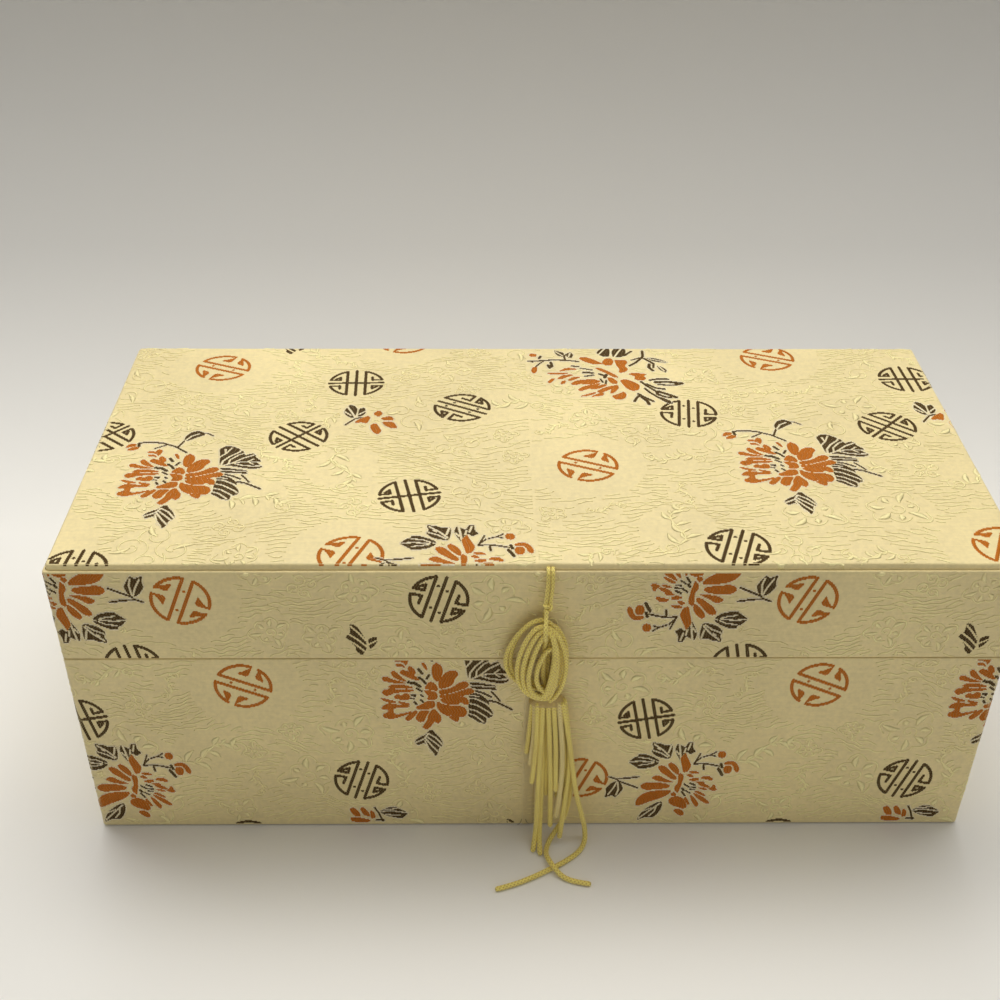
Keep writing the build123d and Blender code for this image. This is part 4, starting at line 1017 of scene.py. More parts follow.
# Peony that the cloth shows near the back edge, drawn about the panel's own X and Y
PEONY_OPEN = figure(
    petals=(
        (30.2, 66, 31.6, 69, 34, 68.8, 34.6, 66.4, 33.6, 63, 31.4, 62.8, 30.2, 64.4), (35.2, 67.8, 37.6, 67.2,
        39.6, 67.6, 40.2, 65.6, 38.8, 62.4, 40, 59.6, 38.6, 57, 36.2, 56.4, 36.8, 59.6, 35.8, 63), (20.8,
        69.6, 23.4, 70.2, 26.4, 68.2, 29, 65.4, 30, 64, 26.6, 63.8, 23.6, 65.8, 21.8, 67.6), (26.8, 60.6, 29,
        60.2, 32, 57.4, 34.6, 54.4, 35.6, 52.2, 34, 52.4, 31, 56, 28.6, 58.4), (39.8, 55.2, 42, 56.2, 47.2,
        55.2, 45.6, 53.6, 46.6, 51.6, 45.2, 49.6, 42, 50.6, 42.6, 53.6), (36.2, 50, 38.6, 50.6, 41.4, 48.4,
        43.6, 45.6, 42.6, 41.6, 40.2, 41, 38.2, 43.4, 37, 46.6), (31.4, 52.4, 33.4, 51.6, 35, 48.6, 34.4,
        46.6, 32.6, 47.4, 31.6, 49.8), (33.4, 45.6, 34.8, 45.8, 35, 43.4, 33.2, 39.8, 31.6, 38.6, 32, 41.4),
        (26.4, 40.6, 29.6, 43.6, 33, 45.2, 33.6, 43.9, 30.6, 41.4, 27.4, 39.2), (19, 41.8, 21.4, 44.6, 26,
        46.6, 28.2, 47.2, 26.8, 45.2, 22.6, 42.4, 20, 40.8), (23.6, 42.4, 26.6, 44.8, 30.6, 46.8, 30.2, 45.2,
        26.8, 42.6), (16.4, 46.6, 18.6, 49.4, 23.2, 50.4, 27.4, 50.2, 24.2, 48.6, 20, 46.6, 17.6, 45.8),
        (20.6, 46.6, 24.6, 48.8, 28.2, 49.6, 27.6, 48, 23.6, 46.2), (11.2, 51.2, 13.6, 54, 18, 54.6, 15.2,
        52.6, 12.6, 50.6), (15.4, 50, 17.8, 52.6, 20.6, 52.6, 18.4, 50.8, 16.2, 49.2), (6.6, 55.6, 11, 56.2,
        16.4, 55.8, 12, 54.6), (7.4, 48, 8.6, 50.6, 10.4, 51.4, 9.4, 49.2, 8.2, 47.4), (12.4, 46.2, 13, 48.8,
        14.6, 49.6, 14, 47.2), (12, 57.4, 15.4, 60.6, 20, 59.4, 15.6, 58.6), (19.6, 36.2, 22.4, 38, 26.2, 40,
        25, 38.2, 21.6, 36.4), (23.8, 36, 26.4, 38.2, 28.8, 39.6, 28.6, 37.2, 26.6, 36.6), (32, 36.6, 34.6,
        38.2, 37, 40.2, 37.6, 37.4, 36.6, 34.4, 33.4, 33.8), (0.6, 72.4, 1.6, 73.8, 3.6, 72.8, 3.2, 71, 1.6,
        70.8), (1.2, 58, 1.8, 61, 3.4, 61.4, 3.2, 57.4, 2, 55.4),
    ),
    lines=(
        (1.2, (17.6, 62.2, 20.2, 61.6)), (1.5, (22, 56.4, 25.6, 56.2)), (1.1, (22.4, 53.2, 25.8, 54.2)), (1.6,
        (28.4, 55.2, 29.6, 54.2)), (1.6, (30.2, 52.2, 30.9, 54.4)), (1, (21, 60.2, 25.4, 58.8)), (1, (28.4,
        50.8, 29.2, 48.2)), (1, (30.2, 47, 30.6, 49.6)), (1.1, (0, 66.6, 5, 67, 10, 67.7, 16, 67.4, 20.4,
        66.2)), (0.9, (3, 61.6, 4.6, 64.4, 6.4, 66.8)), (1.3, (4.6, 69.4, 5.2, 71)), (0.8, (2, 65.4, 0.8,
        67)), (1.4, (8, 63, 8.6, 60.6, 9.6, 62, 9.2, 65.4)), (1, (15.2, 67.8, 14.8, 71, 16, 73)), (1.3, (41,
        62.6, 43.6, 65.4, 45.8, 68.8, 47, 71, 47.2, 76)), (1, (42, 67.6, 45.6, 69.8)), (1.4, (47.4, 69.2,
        49.2, 66.8, 50.8, 64.4)), (1.2, (39.6, 71.8, 41.4, 74.2, 42.6, 75.8)), (1.5, (49, 64, 48.6, 61.2, 50,
        58.4)), (1.1, (50.8, 64.2, 50.4, 61)), (1.4, (48, 50, 51, 51, 55.2, 50.8)), (1.8, (50, 48.2, 54.6,
        48.6, 60.4, 47.2)), (1.2, (51, 46.4, 55.4, 45.6, 59.2, 46.2)), (1.3, (44.4, 48.6, 46.6, 44.6, 49.4,
        40.8, 50.2, 37.6)), (1.4, (46.4, 46.6, 49.6, 43.4, 53, 42.4)), (1.8, (50.4, 40.4, 53.4, 38.4, 56.8,
        35.6)), (1.4, (49.8, 38.2, 52.4, 36, 54.8, 35.4)), (1.2, (45.4, 43, 47, 39.6, 49.4, 36.2, 52.6, 32,
        54.6, 30.6)), (1.6, (50.8, 35, 53.8, 32.2)), (1.3, (40.4, 32.2, 41.4, 35, 42.8, 37.4)), (1.4, (42.4,
        38.4, 44.6, 35.6, 47.6, 32.4)), (1.6, (43.4, 36, 45.4, 32.4, 45.8, 30)),
    ),
    leaves=(
        (28.2, 74.4, 29, 76.6, 31.2, 79.4, 33.6, 79.8, 34, 76, 33.2, 70.6, 31, 70.6, 29, 72.4), (34.6, 70.2,
        34.4, 75.4, 36, 79.2, 39.6, 79.8, 40.6, 76.8, 40, 72.6, 38, 70), (10.8, 77, 13, 75.6, 15, 74.4, 15,
        70.6, 12.4, 71.4, 11.2, 74), (15.8, 70.4, 16, 73.8, 17.6, 75.2, 18.8, 72.4, 17.8, 69.2), (48, 69.6,
        50.6, 70, 54.2, 68.2, 57.6, 65.2, 54, 65.6, 50.8, 66.6), (51.6, 63.2, 54, 61.8, 55.8, 58.8, 55, 56.6,
        52.8, 58.8),
    ),
    veins=(
        (0.5, (29.2, 73, 31, 76.6, 32.4, 79)), (0.5, (35.4, 70.6, 37.2, 75, 38.8, 78.6)), (0.45, (11.4, 75.6,
        14.4, 71.4)), (0.45, (49, 69.2, 53.4, 67.2, 56.6, 65.6)), (0.45, (52.6, 62.4, 54.6, 58)), (0.45,
        (16.6, 70.6, 17.4, 74)),
    ),
)

LEAF_AND_FLOWER = figure(
    petals=(
        (-5.5, -4, -4.1, -1.7, -0.9, 1.1, 0.2, 0, -0.9, -4.6, -2.6, -3.6), (1.2, 2.9, 3.2, 5.7, 4.7, 2.9, 3.2,
        0.8), (4.1, -0.6, 7.8, 1.1, 9.3, -1.7, 6.1, -2.3), (4.9, -3.4, 9, -3.4, 10.8, -8, 8.4, -8, 6.1, -6),
        (0.8, -5.7, 2.6, -4.6, 3.8, -7.5, 4.9, -10.3, 3.8, -13, 2.3, -11.5, 1, -8.6),
    ),
    lines=(
        (1, (-8.7, -5.7, -5.5, -1.1, -3.2, 0)),
    ),
    leaves=(
        (-10.2, 5.2, -8.4, 10.3, -6.1, 9.2, -4.9, 6.3, -5.5, 0, -7.8, 0, -9.6, 2.3), (-4.7, 6.9, -2.3, 8,
        -1.5, 4, -2.9, 1.1, -4.7, 0.4),
    ),
    veins=(
        (0.6, (-9, 8.6, -7.3, 4.6, -5.5, 0)), (0.5, (-9.9, 4.6, -7.3, 1.7)), (0.5, (-1.7, 5.2, -4.4, 2.3)),
    ),
)

FLOWER_AND_LEAF = figure(
    petals=(
        (-10.4, 4.2, -8.7, 5, -7, 2.5, -6.2, 0.2, -8, -0.2, -9.4, 1.4), (-6.2, 4.6, -4.7, 5, -2.8, 1.7, -2.5,
        -0.2, -4.9, 0.8), (-2.1, 3.3, -0.7, 2.1, -0.3, -0.8, -1.9, -1.5), (-10.4, -1, -7.4, -0.9, -2.4, -2.4,
        -3, -3.4, -9.8, -3.3),
    ),
    lines=(
        (0.9, (-0.3, 5, 1.3, 1.7, 2.7, -2.9)), (1, (0, -2.5, 3.2, -2.5)),
    ),
    leaves=(
        (1.3, 2.5, 4.7, 5, 8, 5.4, 11.4, 3.2, 13.4, 1.7, 10.7, -1.5, 7.4, -0.8, 4, 0.4),
    ),
    veins=(
        (0.5, (1.3, 2.4, 6, 3.2, 12.6, 1.9)), (0.45, (3.4, 3.8, 8.6, 4.4)), (0.45, (4, 0.9, 9.8, 0.4)),
    ),
)

V_LEAF = figure(
    leaves=(
        (-4.3, 8, -1.6, 6.5, 0.2, 3, 1.3, 0, 1.7, -4, -0.4, -7.8, -2.9, -5, -2.4, -3.5, -6.1, 0.5, -5.7, 2,
        -4.3, 3), (2, 0.5, 5.3, 1.5, 5.9, -0.5, 4.1, -3.5, 2.4, -4.5),
    ),
    veins=(
        (0.55, (-4.1, 6.6, -1.4, 3.5, 1.4, -0.5)), (0.55, (-5, 2.8, -1.6, 0, 1.6, -3.5)), (0.55, (-6, 0.4,
        -2.6, -2.2, 0.8, -5.8)), (0.5, (2, -2.5, 5.9, 0)),
    ),
    thread="dark",
)


def ring_arc(radius, first, last):
    """Points on a circle between two angles in degrees."""
    angles = [radians(first + (last - first) * k / 8) for k in range(9)]
    return [(radius * cos(angle), radius * sin(angle)) for angle in angles]


# Filled hooks, and lines of hooks and dots, on one half of each kind of medallion
MEDALLION_FILLS = {
    "pair": (((-10.6, 2.8), (-4.5, 6.9), (-5.5, 2.4)), ((-10.8, 0.2), (-5.1, 0.2), (-5.1, -4.6), (-7.4, -2.2))),
}
MEDALLION_LINES = {
    "pair": ((1.2, ((-0.1, 4.7), (0.1, 4.7))),),
    "triple": (
        (1.35, ((-10.2, 2.5), (-6.2, 2.6), (-6.3, 5.3), (-8.4, 3.7))),
        (1.35, ((-10.4, -0.2), (-6.3, -0.1), (-6.5, -3.6))),
        (1.3, ((-1.9, 5.9), (-1.8, 5.9))), (1.3, ((-1.9, -4.4), (-1.8, -4.4))),
    ),
    "cross": (
        (1.3, ((-10.0, 2.5), (-6.3, 2.4), (-6.3, 4.8), (-8.0, 3.4))),
        (1.3, ((-10.0, -2.5), (-6.3, -2.4), (-6.3, -4.8))),
    ),
}
RING = 10.4


def medallion(kind, angle):
    """Round longevity medallion, drawn upright and then turned. One half is made of a bar, two ring arcs and
    two hooks, and the other half is the same turned by half a circle. A pair has two bars, dots and filled
    hooks; a triple has a middle bar too and open hooks; a cross is a triple with a bar across."""
    pair = kind == "pair"
    stroke, bar = (1.45, 1.9) if pair else (1.4, 3.6)
    edge, rise = degrees(acos(bar / RING)), (RING**2 - bar**2) ** 0.5
    lines = [
        (stroke, [(-bar, -rise), (-bar, rise)]), (stroke, ring_arc(RING, 180 - edge, 165)),
        (stroke, ring_arc(RING, 195 if kind == "cross" else 183, 180 + edge)), *MEDALLION_LINES[kind],
    ]
    lines += [(width, [(-x, -y) for x, y in points]) for width, points in lines]
    fills = [*MEDALLION_FILLS.get(kind, ())]
    fills += [[(-x, -y) for x, y in outline] for outline in fills]
    if not pair:
        lines.append((stroke, [(0, -RING), (0, RING)]))
    if kind == "cross":
        lines.append((stroke, [(-RING - 0.2, 0), (RING + 0.2, 0)]))
    turn = radians(angle)

    def turned(points):
        return [(x * cos(turn) - y * sin(turn), x * sin(turn) + y * cos(turn)) for x, y in points]

    return figure(
        lines=[(width, turned(points)) for width, points in lines], leaves=[turned(outline) for outline in fills],
        thread="orange" if pair else "dark",
    )


PAIR_LEAN, PAIR_LYING = medallion("pair", -22), medallion("pair", 66)
TRIPLE_LEAN, TRIPLE_UPRIGHT, TRIPLE_LYING = (medallion("triple", angle) for angle in (-17, -6, 60))
CROSS_UPRIGHT, CROSS_TURNED, CROSS_DIAGONAL = (medallion("cross", angle) for angle in (2, 11, 48))

# Where the figures lie: an offset for the peonies, which are drawn in place, and a centre for the others
BASE_FIGURES = (
    (PEONY_SPRAY, 0, 0), (PEONY_CROWN, 0, 0), (PAIR_LYING, 107.1, 77.3), (PAIR_LEAN, 19, 27.7),
    (CROSS_TURNED, 42.9, 59.8), (TRIPLE_LEAN, -68.2, 26.6), (CROSS_DIAGONAL, 101.4, -7.8),
    (FLOWER_AND_LEAF, -63.5, 5.4), (V_LEAF, -6, -4),
)
LID_FIGURES = (
    (PEONY_CROWN._replace(half_turn=True), 114.1, 146.7), (PAIR_LEAN, 96.9, 119.2), (TRIPLE_LEAN, -35.6, 119.6),
    (CROSS_TURNED, 75.6, 87.4), (V_LEAF, -64, 100.4),
)
PANEL_FIGURES = (
    (PAIR_LYING, -133.4, 60.6), (PAIR_LYING, 106.5, 69.5), (PAIR_LYING, 21.2, -16.5), (PAIR_LEAN, -66.8, -73.4),
    (PAIR_LEAN, 168.6, -68), (PAIR_LYING, -55.4, 85), (CROSS_UPRIGHT, -74.3, 47.3), (TRIPLE_LYING, -28.6, 27),
    (CROSS_DIAGONAL, -94.1, 4.4), (CROSS_DIAGONAL, -172, 4.8), (CROSS_TURNED, -47.6, -36.8),
    (TRIPLE_UPRIGHT, -163, -81), (TRIPLE_UPRIGHT, 65.6, 22.5), (CROSS_UPRIGHT, 163.8, 51.6),
    (CROSS_DIAGONAL, 145.9, 12.6), (TRIPLE_LEAN, 71.8, -69), (PEONY_SPRAY, -94.8, -97.6),
    (PEONY_SPRAY, 144.2, -89.1), (PEONY_CROWN, -90.8, -102.9), (PEONY_OPEN, 0, 0),
    (LEAF_AND_FLOWER, -66.5, 19), (LEAF_AND_FLOWER, 171.5, 22), (V_LEAF, -105, 80.4),
)
PANEL_STRETCH = 1.09
COLUMN = 0.1
CORNER_CUT = 0.18
VEIN_GROWTH = 1.25
SHORT_PICK = 0.14
LEAST_RUN = 0.15 * MM


def inside_outline(x, y, outline, swell):
    """Even-odd test of whole arrays against a closed outline whose corners are cut once to round them,
    joined with all places nearer to the outline than the swell."""
    ahead = np.roll(outline, -1, axis=0)
    near, far = 1 - CORNER_CUT, CORNER_CUT
    points = np.stack([near * outline + far * ahead, far * outline + near * ahead], 1).reshape(-1, 2)
    inside = np.zeros(x.shape, bool)
    for (x0, y0), (x1, y1) in zip(points, np.roll(points, -1, axis=0)):
        if y0 != y1:
            crosses = (y0 > y) != (y1 > y)
            inside ^= crosses & (x < (x1 - x0) * (y - y0) / (y1 - y0) + x0)
    return inside | near_line(x, y, np.concatenate([points, points[:1]]), 2 * swell)


def near_line(x, y, points, width):
    """Places within half a width of a line of straight runs."""
    near = np.zeros(x.shape, bool)
    for (x0, y0), (x1, y1) in zip(points, points[1:]):
        run = max((x1 - x0) ** 2 + (y1 - y0) ** 2, 1e-9)
        share = np.clip(((x - x0) * (x1 - x0) + (y - y0) * (y1 - y0)) / run, 0, 1)
        near |= np.hypot(x - x0 - share * (x1 - x0), y - y0 - share * (y1 - y0)) < width / 2
    return near


def widened(mask, columns):
    """A mask grown by one row and some columns."""
    grown = mask.copy()
    for shift in range(1, columns + 1):
        grown[:, shift:] |= mask[:, :-shift]
        grown[:, :-shift] |= mask[:, shift:]
    grown[1:] |= mask[:-1]
    grown[:-1] |= mask[1:]
    return grown


def figure_masks(figure, cloth):
    """Rows of picks where each thread comes up, as masks on a grid of rows and columns, with its corner."""
    pick = cloth.pick / MM
    spots = np.concatenate([*figure.petals, *figure.leaves, *(points for _, points in figure.lines)])
    low, high = spots.min(0) - 2.0, spots.max(0) + 2.0
    rows = np.arange(round(low[1] / pick), round(high[1] / pick) + 1) * pick
    columns = np.arange(low[0], high[0], COLUMN)
    x, y = np.meshgrid(columns, rows)

    def painted(test, shapes):
        """Join of a test's places for all shapes, each tried only round the box of its own points."""
        mask = np.zeros(x.shape, bool)
        for size, points in shapes:
            (left, bottom), (right, top) = points.min(0) - 1.6, points.max(0) + 1.6
            block = np.ix_((rows > bottom) & (rows < top), (columns > left) & (columns < right))
            mask[block] |= test(x[block], y[block], points, size)
        return mask

    orange = painted(inside_outline, [(cloth.swell / MM, outline) for outline in figure.petals])
    dark = painted(inside_outline, [(0.0, outline) for outline in figure.leaves])
    dark &= ~painted(near_line, [(VEIN_GROWTH * width, points) for width, points in figure.veins])
    dark |= painted(near_line, figure.lines)
    if figure.thread == "orange":
        orange, dark = dark, orange
    cream = np.zeros_like(orange)
    if figure.thread == "both":
        cream = widened(orange | dark, round(cloth.halo / MM / COLUMN)) & ~orange & ~dark
        orange &= ~dark
    return {"orange": orange, "dark": dark, "cream": cream}, columns[0], rows


def stretches(flags):
    """Row, start and end of each unbroken run of true values along the last axis."""
    change = np.diff(np.pad(np.atleast_2d(flags).astype(np.int8), ((0, 0), (1, 1))), axis=1)
    row, start = np.nonzero(change == 1)
    return row, start, np.nonzero(change == -1)[1]


def figure_runs(figures, stretch, limits, repeats, period, cloth, masks):
    """All runs of figuring thread within limits (x low, x high, y low, y high), in metres, for each thread."""
    pick = cloth.pick / MM
    found = {"orange": [], "dark": [], "cream": []}
    for figure, x, y in figures:
        key = id(figure.lines)
        if key not in masks:
            masks[key] = figure_masks(figure, cloth)
        layers, first_column, rows = masks[key]
        y = round(y / pick) * pick
        for name, mask in layers.items():
            row, start, end = stretches(mask)
            a, b, t = first_column + start * COLUMN, first_column + end * COLUMN, rows[row]
            if figure.half_turn:
                a, b, t = -b, -a, -t
            short = np.where(np.round(t / pick).astype(int) % 2 == 0, 0.0, SHORT_PICK)
            a, b = a + short, b - short
            for copy in repeats:
                shift = x + copy * period / MM
                found[name].append(np.stack([a * stretch + shift, b * stretch + shift, t + y], -1) * MM)
    for name, parts in found.items():
        runs = np.concatenate(parts)
        runs[:, :2] = np.clip(runs[:, :2], *limits[:2])
        inside = (runs[:, 2] > limits[2]) & (runs[:, 2] < limits[3])
        found[name] = runs[(runs[:, 1] - runs[:, 0] > LEAST_RUN) & inside]
    return found


def split_runs(runs, longest):
    """Runs cut into equal shorter ones, so that they bend with the surface."""
    pieces = np.maximum(1, np.ceil((runs[:, 1] - runs[:, 0]) / longest)).astype(int)
    index = np.repeat(np.arange(len(runs)), pieces)
    order = np.arange(len(index)) - np.repeat(np.cumsum(pieces) - pieces, pieces)
    step = ((runs[:, 1] - runs[:, 0]) / pieces)[index]
    start = runs[index, 0] + order * step
    return np.stack([start, start + step, runs[index, 2]], -1)


THREAD_BAR = np.array([
    [0, 3, 4], [1, 4, 5], [2, 5, 3], [0, 4, 1], [1, 5, 2], [2, 3, 0], [0, 1, 2], [3, 5, 4],
])


def thread_mesh(name, runs, place, half, lift, sink):
    """Each run is a thread float: a closed bar with a rounded top, three points across at each end.
    The middle point is lifted off the cloth and the outer two lie just under its face."""
    inset = np.minimum(0.08 * MM, (runs[:, 1] - runs[:, 0]) / 4)[:, None]
    s = np.stack([runs[:, 0], runs[:, 1]], 1)[:, :, None].repeat(3, axis=2)
    s[:, 0, 1:2] += inset
    s[:, 1, 1:2] -= inset
    s, t, lifts = np.broadcast_arrays(s, runs[:, 2][:, None, None] + (-half, 0.0, half), (-sink, lift, -sink))
    points = place(s.ravel(), t.ravel(), lifts.ravel())
    faces = (np.arange(len(runs))[:, None, None] * 6 + THREAD_BAR).reshape(-1, 3)
    return fill_mesh(name, points, faces)


# Damask floats of the ground, drawn in one repeat of the cloth in millimetres

DAMASK_HEIGHT = 175.0
PLAIN_RADIUS = 21.0
WATER_GAP = 2.0
WATER_STEP = 1.1
TENDRIL_POINTS = 26
# Reach and number of tries of each round of motifs
MOTIF_ROUNDS = ((16.0, 80), (11.0, 200), (7.0, 300))


def turned_by(x, y, heading, along, aside):
    """Points at distances along and to the left of a heading from a place."""
    return np.stack([
        x + along * cos(heading) - aside * sin(heading), y + along * sin(heading) + aside * cos(heading),
    ], -1)


def curl(x, y, size, start, turns, hand):
    """Tendril: a spiral whose radius falls evenly to a fifth while it turns."""
    share = np.linspace(0, 1, TENDRIL_POINTS)
    radius = size * (1 - 0.82 * share)
    angle = start + hand * turns * 2 * pi * share
    return np.stack([x + radius * np.cos(angle), y + radius * np.sin(angle)], -1)


def blade(x, y, heading, size, width):
    """Leaf or petal: one bowed float, in its middle as many times a float's width as asked."""
    share = np.linspace(0, 1, 8)
    line = turned_by(x, y, heading, size * share, 0.12 * size * np.sin(pi * share))
    return np.column_stack([line, width * np.sin(pi * np.clip(share, 0.1, 0.93)) ** 0.6])


def petal_fan(x, y, size, start):
    """Flower: seven broad petals round a curled heart, each with a finer bent stroke beyond it."""
    strokes = [curl(x, y, size * 0.26, start, 1.2, 1)]
    for k in range(7):
        turn = start + 2 * pi * k / 7
        reach = size * (0.8 + 0.2 * sin(3.0 * turn + start))
        heart = (x + 0.32 * size * cos(turn), y + 0.32 * size * sin(turn))
        strokes.append(blade(*heart, turn, reach - 0.4 * size, 0.27 * size))
        share = np.linspace(-1, 1, 9)
        strokes.append(turned_by(x, y, turn, reach * (1 - 0.3 * share**2), size * 0.3 * share))
    return strokes


def leaf_spray(x, y, size, heading, hand):
    """Stem in an S with leaves on both sides and a tendril at each end."""
    share = np.linspace(-1, 1, 16)
    stem = turned_by(x, y, heading, size * share, 0.3 * size * hand * np.sin(pi * share))
    strokes = [stem]
    for k in range(2, 15, 2):
        side = 1 if k % 4 else -1
        reach = size * (0.62 - 0.022 * k)
        strokes.append(blade(*stem[k], heading + side * 0.85, reach, 0.24 * size))
        strokes.append(blade(*stem[k], heading - side * 0.6, reach * 0.6, 0.15 * size))
    for k, turn in ((0, pi / 2), (15, -pi / 2)):
        strokes.append(curl(*stem[k], size * 0.3, heading + hand * turn, 1.3, hand))
    return strokes


def cloud_scrolls(x, y, size, start):
    """Four curls set round a point, turning by turns left and right, each under a bent cap."""
    strokes = []
    for k in range(4):
        turn = start + k * pi / 2
        place = (x + size * 0.5 * cos(turn), y + size * 0.5 * sin(turn))
        strokes.append(curl(*place, size * 0.44, turn + 2.4, 1.4, 1 if k % 2 else -1))
        strokes.append(blade(*place, turn + 0.5, size * 0.5, 0.2 * size))
    return strokes


def room(x, y, taken, width, height):
    """Least distance from places to the taken circles, in a repeat that joins up with itself."""
    return np.min([
        np.hypot((x - px + width / 2) % width - width / 2, (y - py + height / 2) % height - height / 2) - reach
        for px, py, reach in taken
    ], axis=0)


def water_lines(width, height, taken, rng):
    """Lines two millimetres apart that share a slow swell, each with small waves of its own, broken at random
    and left out where motifs and plain places lie."""
    strokes = []
    x = np.arange(0, width, WATER_STEP)
    small = round(width / 7.5)
    for base in np.arange(0, height, WATER_GAP):
        part = 2 * pi * base / height
        y = base + 4.2 * np.sin(2 * pi * 2 * x / width + 2.1 * np.sin(part))
        y += 2.2 * np.sin(2 * pi * 5 * x / width + 2 * part + 1)
        y += 0.42 * np.sin(2 * pi * small * x / width + rng.uniform(0, 6)) * np.sin(2 * pi * 3 * x / width + base)
        y += 0.3 * np.sin(2 * pi * (small + 9) * x / width + rng.uniform(0, 6))
        free = room(x, y, taken, width, height) > 0
        place = rng.uniform(0, 12)
        while place < len(x):
            free[int(place):int(place + rng.uniform(2, 4))] = False
            place += rng.uniform(8, 30)
        strokes += cut(np.stack([x, y], -1), free)
    return strokes


def cut(stroke, free):
    """Stretches of a stroke that are free, where they have more than three points."""
    _, starts, ends = stretches(free)
    return [stroke[a:b] for a, b in zip(starts, ends) if b - a > 3]


def damask_strokes(width, plain, seed):
    """Strokes of one repeat: flowers, sprays and scrolls spread over it, then water lines between them.
    Each point has its place and its width in floats."""
    rng = np.random.default_rng(seed)
    strokes, taken = [], [(x, y, PLAIN_RADIUS) for x, y in plain]
    for reach, count in MOTIF_ROUNDS:
        for _ in range(count):
            x, y, start = rng.uniform(0, width), rng.uniform(0, DAMASK_HEIGHT), rng.uniform(0, 2 * pi)
            kind = rng.integers(0, 3)
            if room(x, y, taken, width, DAMASK_HEIGHT) < reach * 0.86:
                continue
            taken.append((x, y, reach * 0.8))
            if kind == 0:
                strokes += petal_fan(x, y, reach * 0.8, start)
            elif kind == 1:
                strokes += leaf_spray(x, y, reach * 0.8, start, 1 if seed % 2 else -1)
            else:
                strokes += cloud_scrolls(x, y, reach * 0.9, start)
    strokes += water_lines(width, DAMASK_HEIGHT, taken, rng)
    return [np.column_stack([stroke, np.ones(len(stroke))])[:, :3] for stroke in strokes]


def stroke_mesh(name, strokes, place, half, lift, sink):
    """Each stroke is a closed ribbon of three points across, narrowed at both ends, whose middle is lifted."""
    parts, faces, count = [], [], 0
    cross = np.array([-half, 0.0, half])
    for stroke in strokes:
        line, rows = stroke[:, :2], len(stroke)
        heading = np.gradient(line, axis=0)
        heading /= np.maximum(np.linalg.norm(heading, axis=1), 1e-12)[:, None]
        share = np.linspace(0, 1, rows)
        swell = (0.35 + 0.65 * np.sin(pi * np.clip(share, 0.02, 0.98)) ** 0.5) * stroke[:, 2]
        aside = np.stack([-heading[:, 1], heading[:, 0]], -1)
        points = line[:, None] + aside[:, None] * (cross[None, :, None] * swell[:, None, None])
        parts.append(np.concatenate([points, np.tile([[-sink], [lift], [-sink]], (rows, 1, 1))], -1).reshape(-1, 3))
        end = (rows - 1) * 3
        sides = triangles(grid_faces(rows, 3, wrap_columns=True))[:, ::-1]
        faces.append(np.concatenate([sides, [[0, 2, 1], [end, end + 1, end + 2]]]) + count)
        count += rows * 3
    return fill_mesh(name, place(*np.concatenate(parts).T), np.concatenate(faces))


def tiled(strokes, width, limits, stretch):
    """Strokes of a repeat, drawn in millimetres, laid side by side over the limits, in metres."""
    width, height = width * MM * stretch, DAMASK_HEIGHT * MM
    columns, rows = (
        range(int(np.floor(low / size)), int(np.ceil(high / size)))
        for low, high, size in ((*limits[:2], width), (*limits[2:], height))
    )
    shifts = [(i * width, j * height, 0.0) for i in columns for j in rows]
    return [stroke * (MM * stretch, MM, 1.0) + shift for shift in shifts for stroke in strokes]


# Figures and damask on every surface

HINGE_CLEAR = 2.0 * MM
FOLD = 0.6 * MM
PANEL_INSET = 0.15 * MM
LAP_EDGE = -0.0041
CELL = 0.5 * MM
THREAD_SINK, FLOAT_SINK = 0.05 * MM, 0.04 * MM
# Middles of the plain places round the orange medallions of the base and of the lid's walls
BASE_PLAIN = ((107.9, 77.3), (19.0, 27.7))
LID_PLAIN = ((96.9, 119.2),)
PANEL_WIDTH = 350.0


def wall_spans():
    """Where each part of the wall begins and ends: front and sides in two halves, and the back in two."""
    radius = settings()[0].corner
    back = HALF_WIDTH - radius
    run = 2 * back + 2 * (HALF_DEPTH - radius) + pi * radius
    side_end = run - back
    return {
        "left": (-side_end, LAP_EDGE), "right": (LAP_EDGE, side_end), "back_left": (-run, -side_end),
        "back_right": (side_end, run),
    }


def cloth_parts():
    """The dressed surfaces: name, body, placing function, figures, stretch, limits and repeats."""
    parts = []
    for side, span in wall_spans().items():
        clear = HINGE_CLEAR if side.startswith("back") else 0
        base = (*span, BASE_LOW[2] + FOLD, BASE_HIGH[2] - FOLD - clear)
        lid = (*span, LID_LOW[2] + FOLD + clear, LID_HIGH[2] - FOLD)
        parts.append(("base_" + side, "base", on_wall, BASE_FIGURES, 1.0, base, range(-3, 4)))
        parts.append(("lid_" + side, "lid", on_wall, LID_FIGURES, 1.0, lid, range(-3, 4)))
    panel = (
        PANEL_LOW[0] + PANEL_INSET, PANEL_HIGH[0] - PANEL_INSET, PANEL_LOW[1] + PANEL_INSET,
        PANEL_HIGH[1] - PANEL_INSET,
    )
    return parts + [("panel", "lid", on_panel, PANEL_FIGURES, PANEL_STRETCH, panel, (0,))]


def covered_cells(found, limits):
    """Cells of the cloth that hold figuring thread, grown by one cell each way."""
    columns = int((limits[1] - limits[0]) / CELL) + 3
    rows = int((limits[3] - limits[2]) / CELL) + 3
    change = np.zeros((rows, columns + 1))
    for runs in found.values():
        row = ((runs[:, 2] - limits[2]) / CELL).astype(int) + 1
        start, end = (((runs[:, side] - limits[0]) / CELL).astype(int) for side in (0, 1))
        np.add.at(change, (row, start), 1)
        np.add.at(change, (row, end + 2), -1)
    return widened(change.cumsum(axis=1)[:, :columns] > 0, 1)


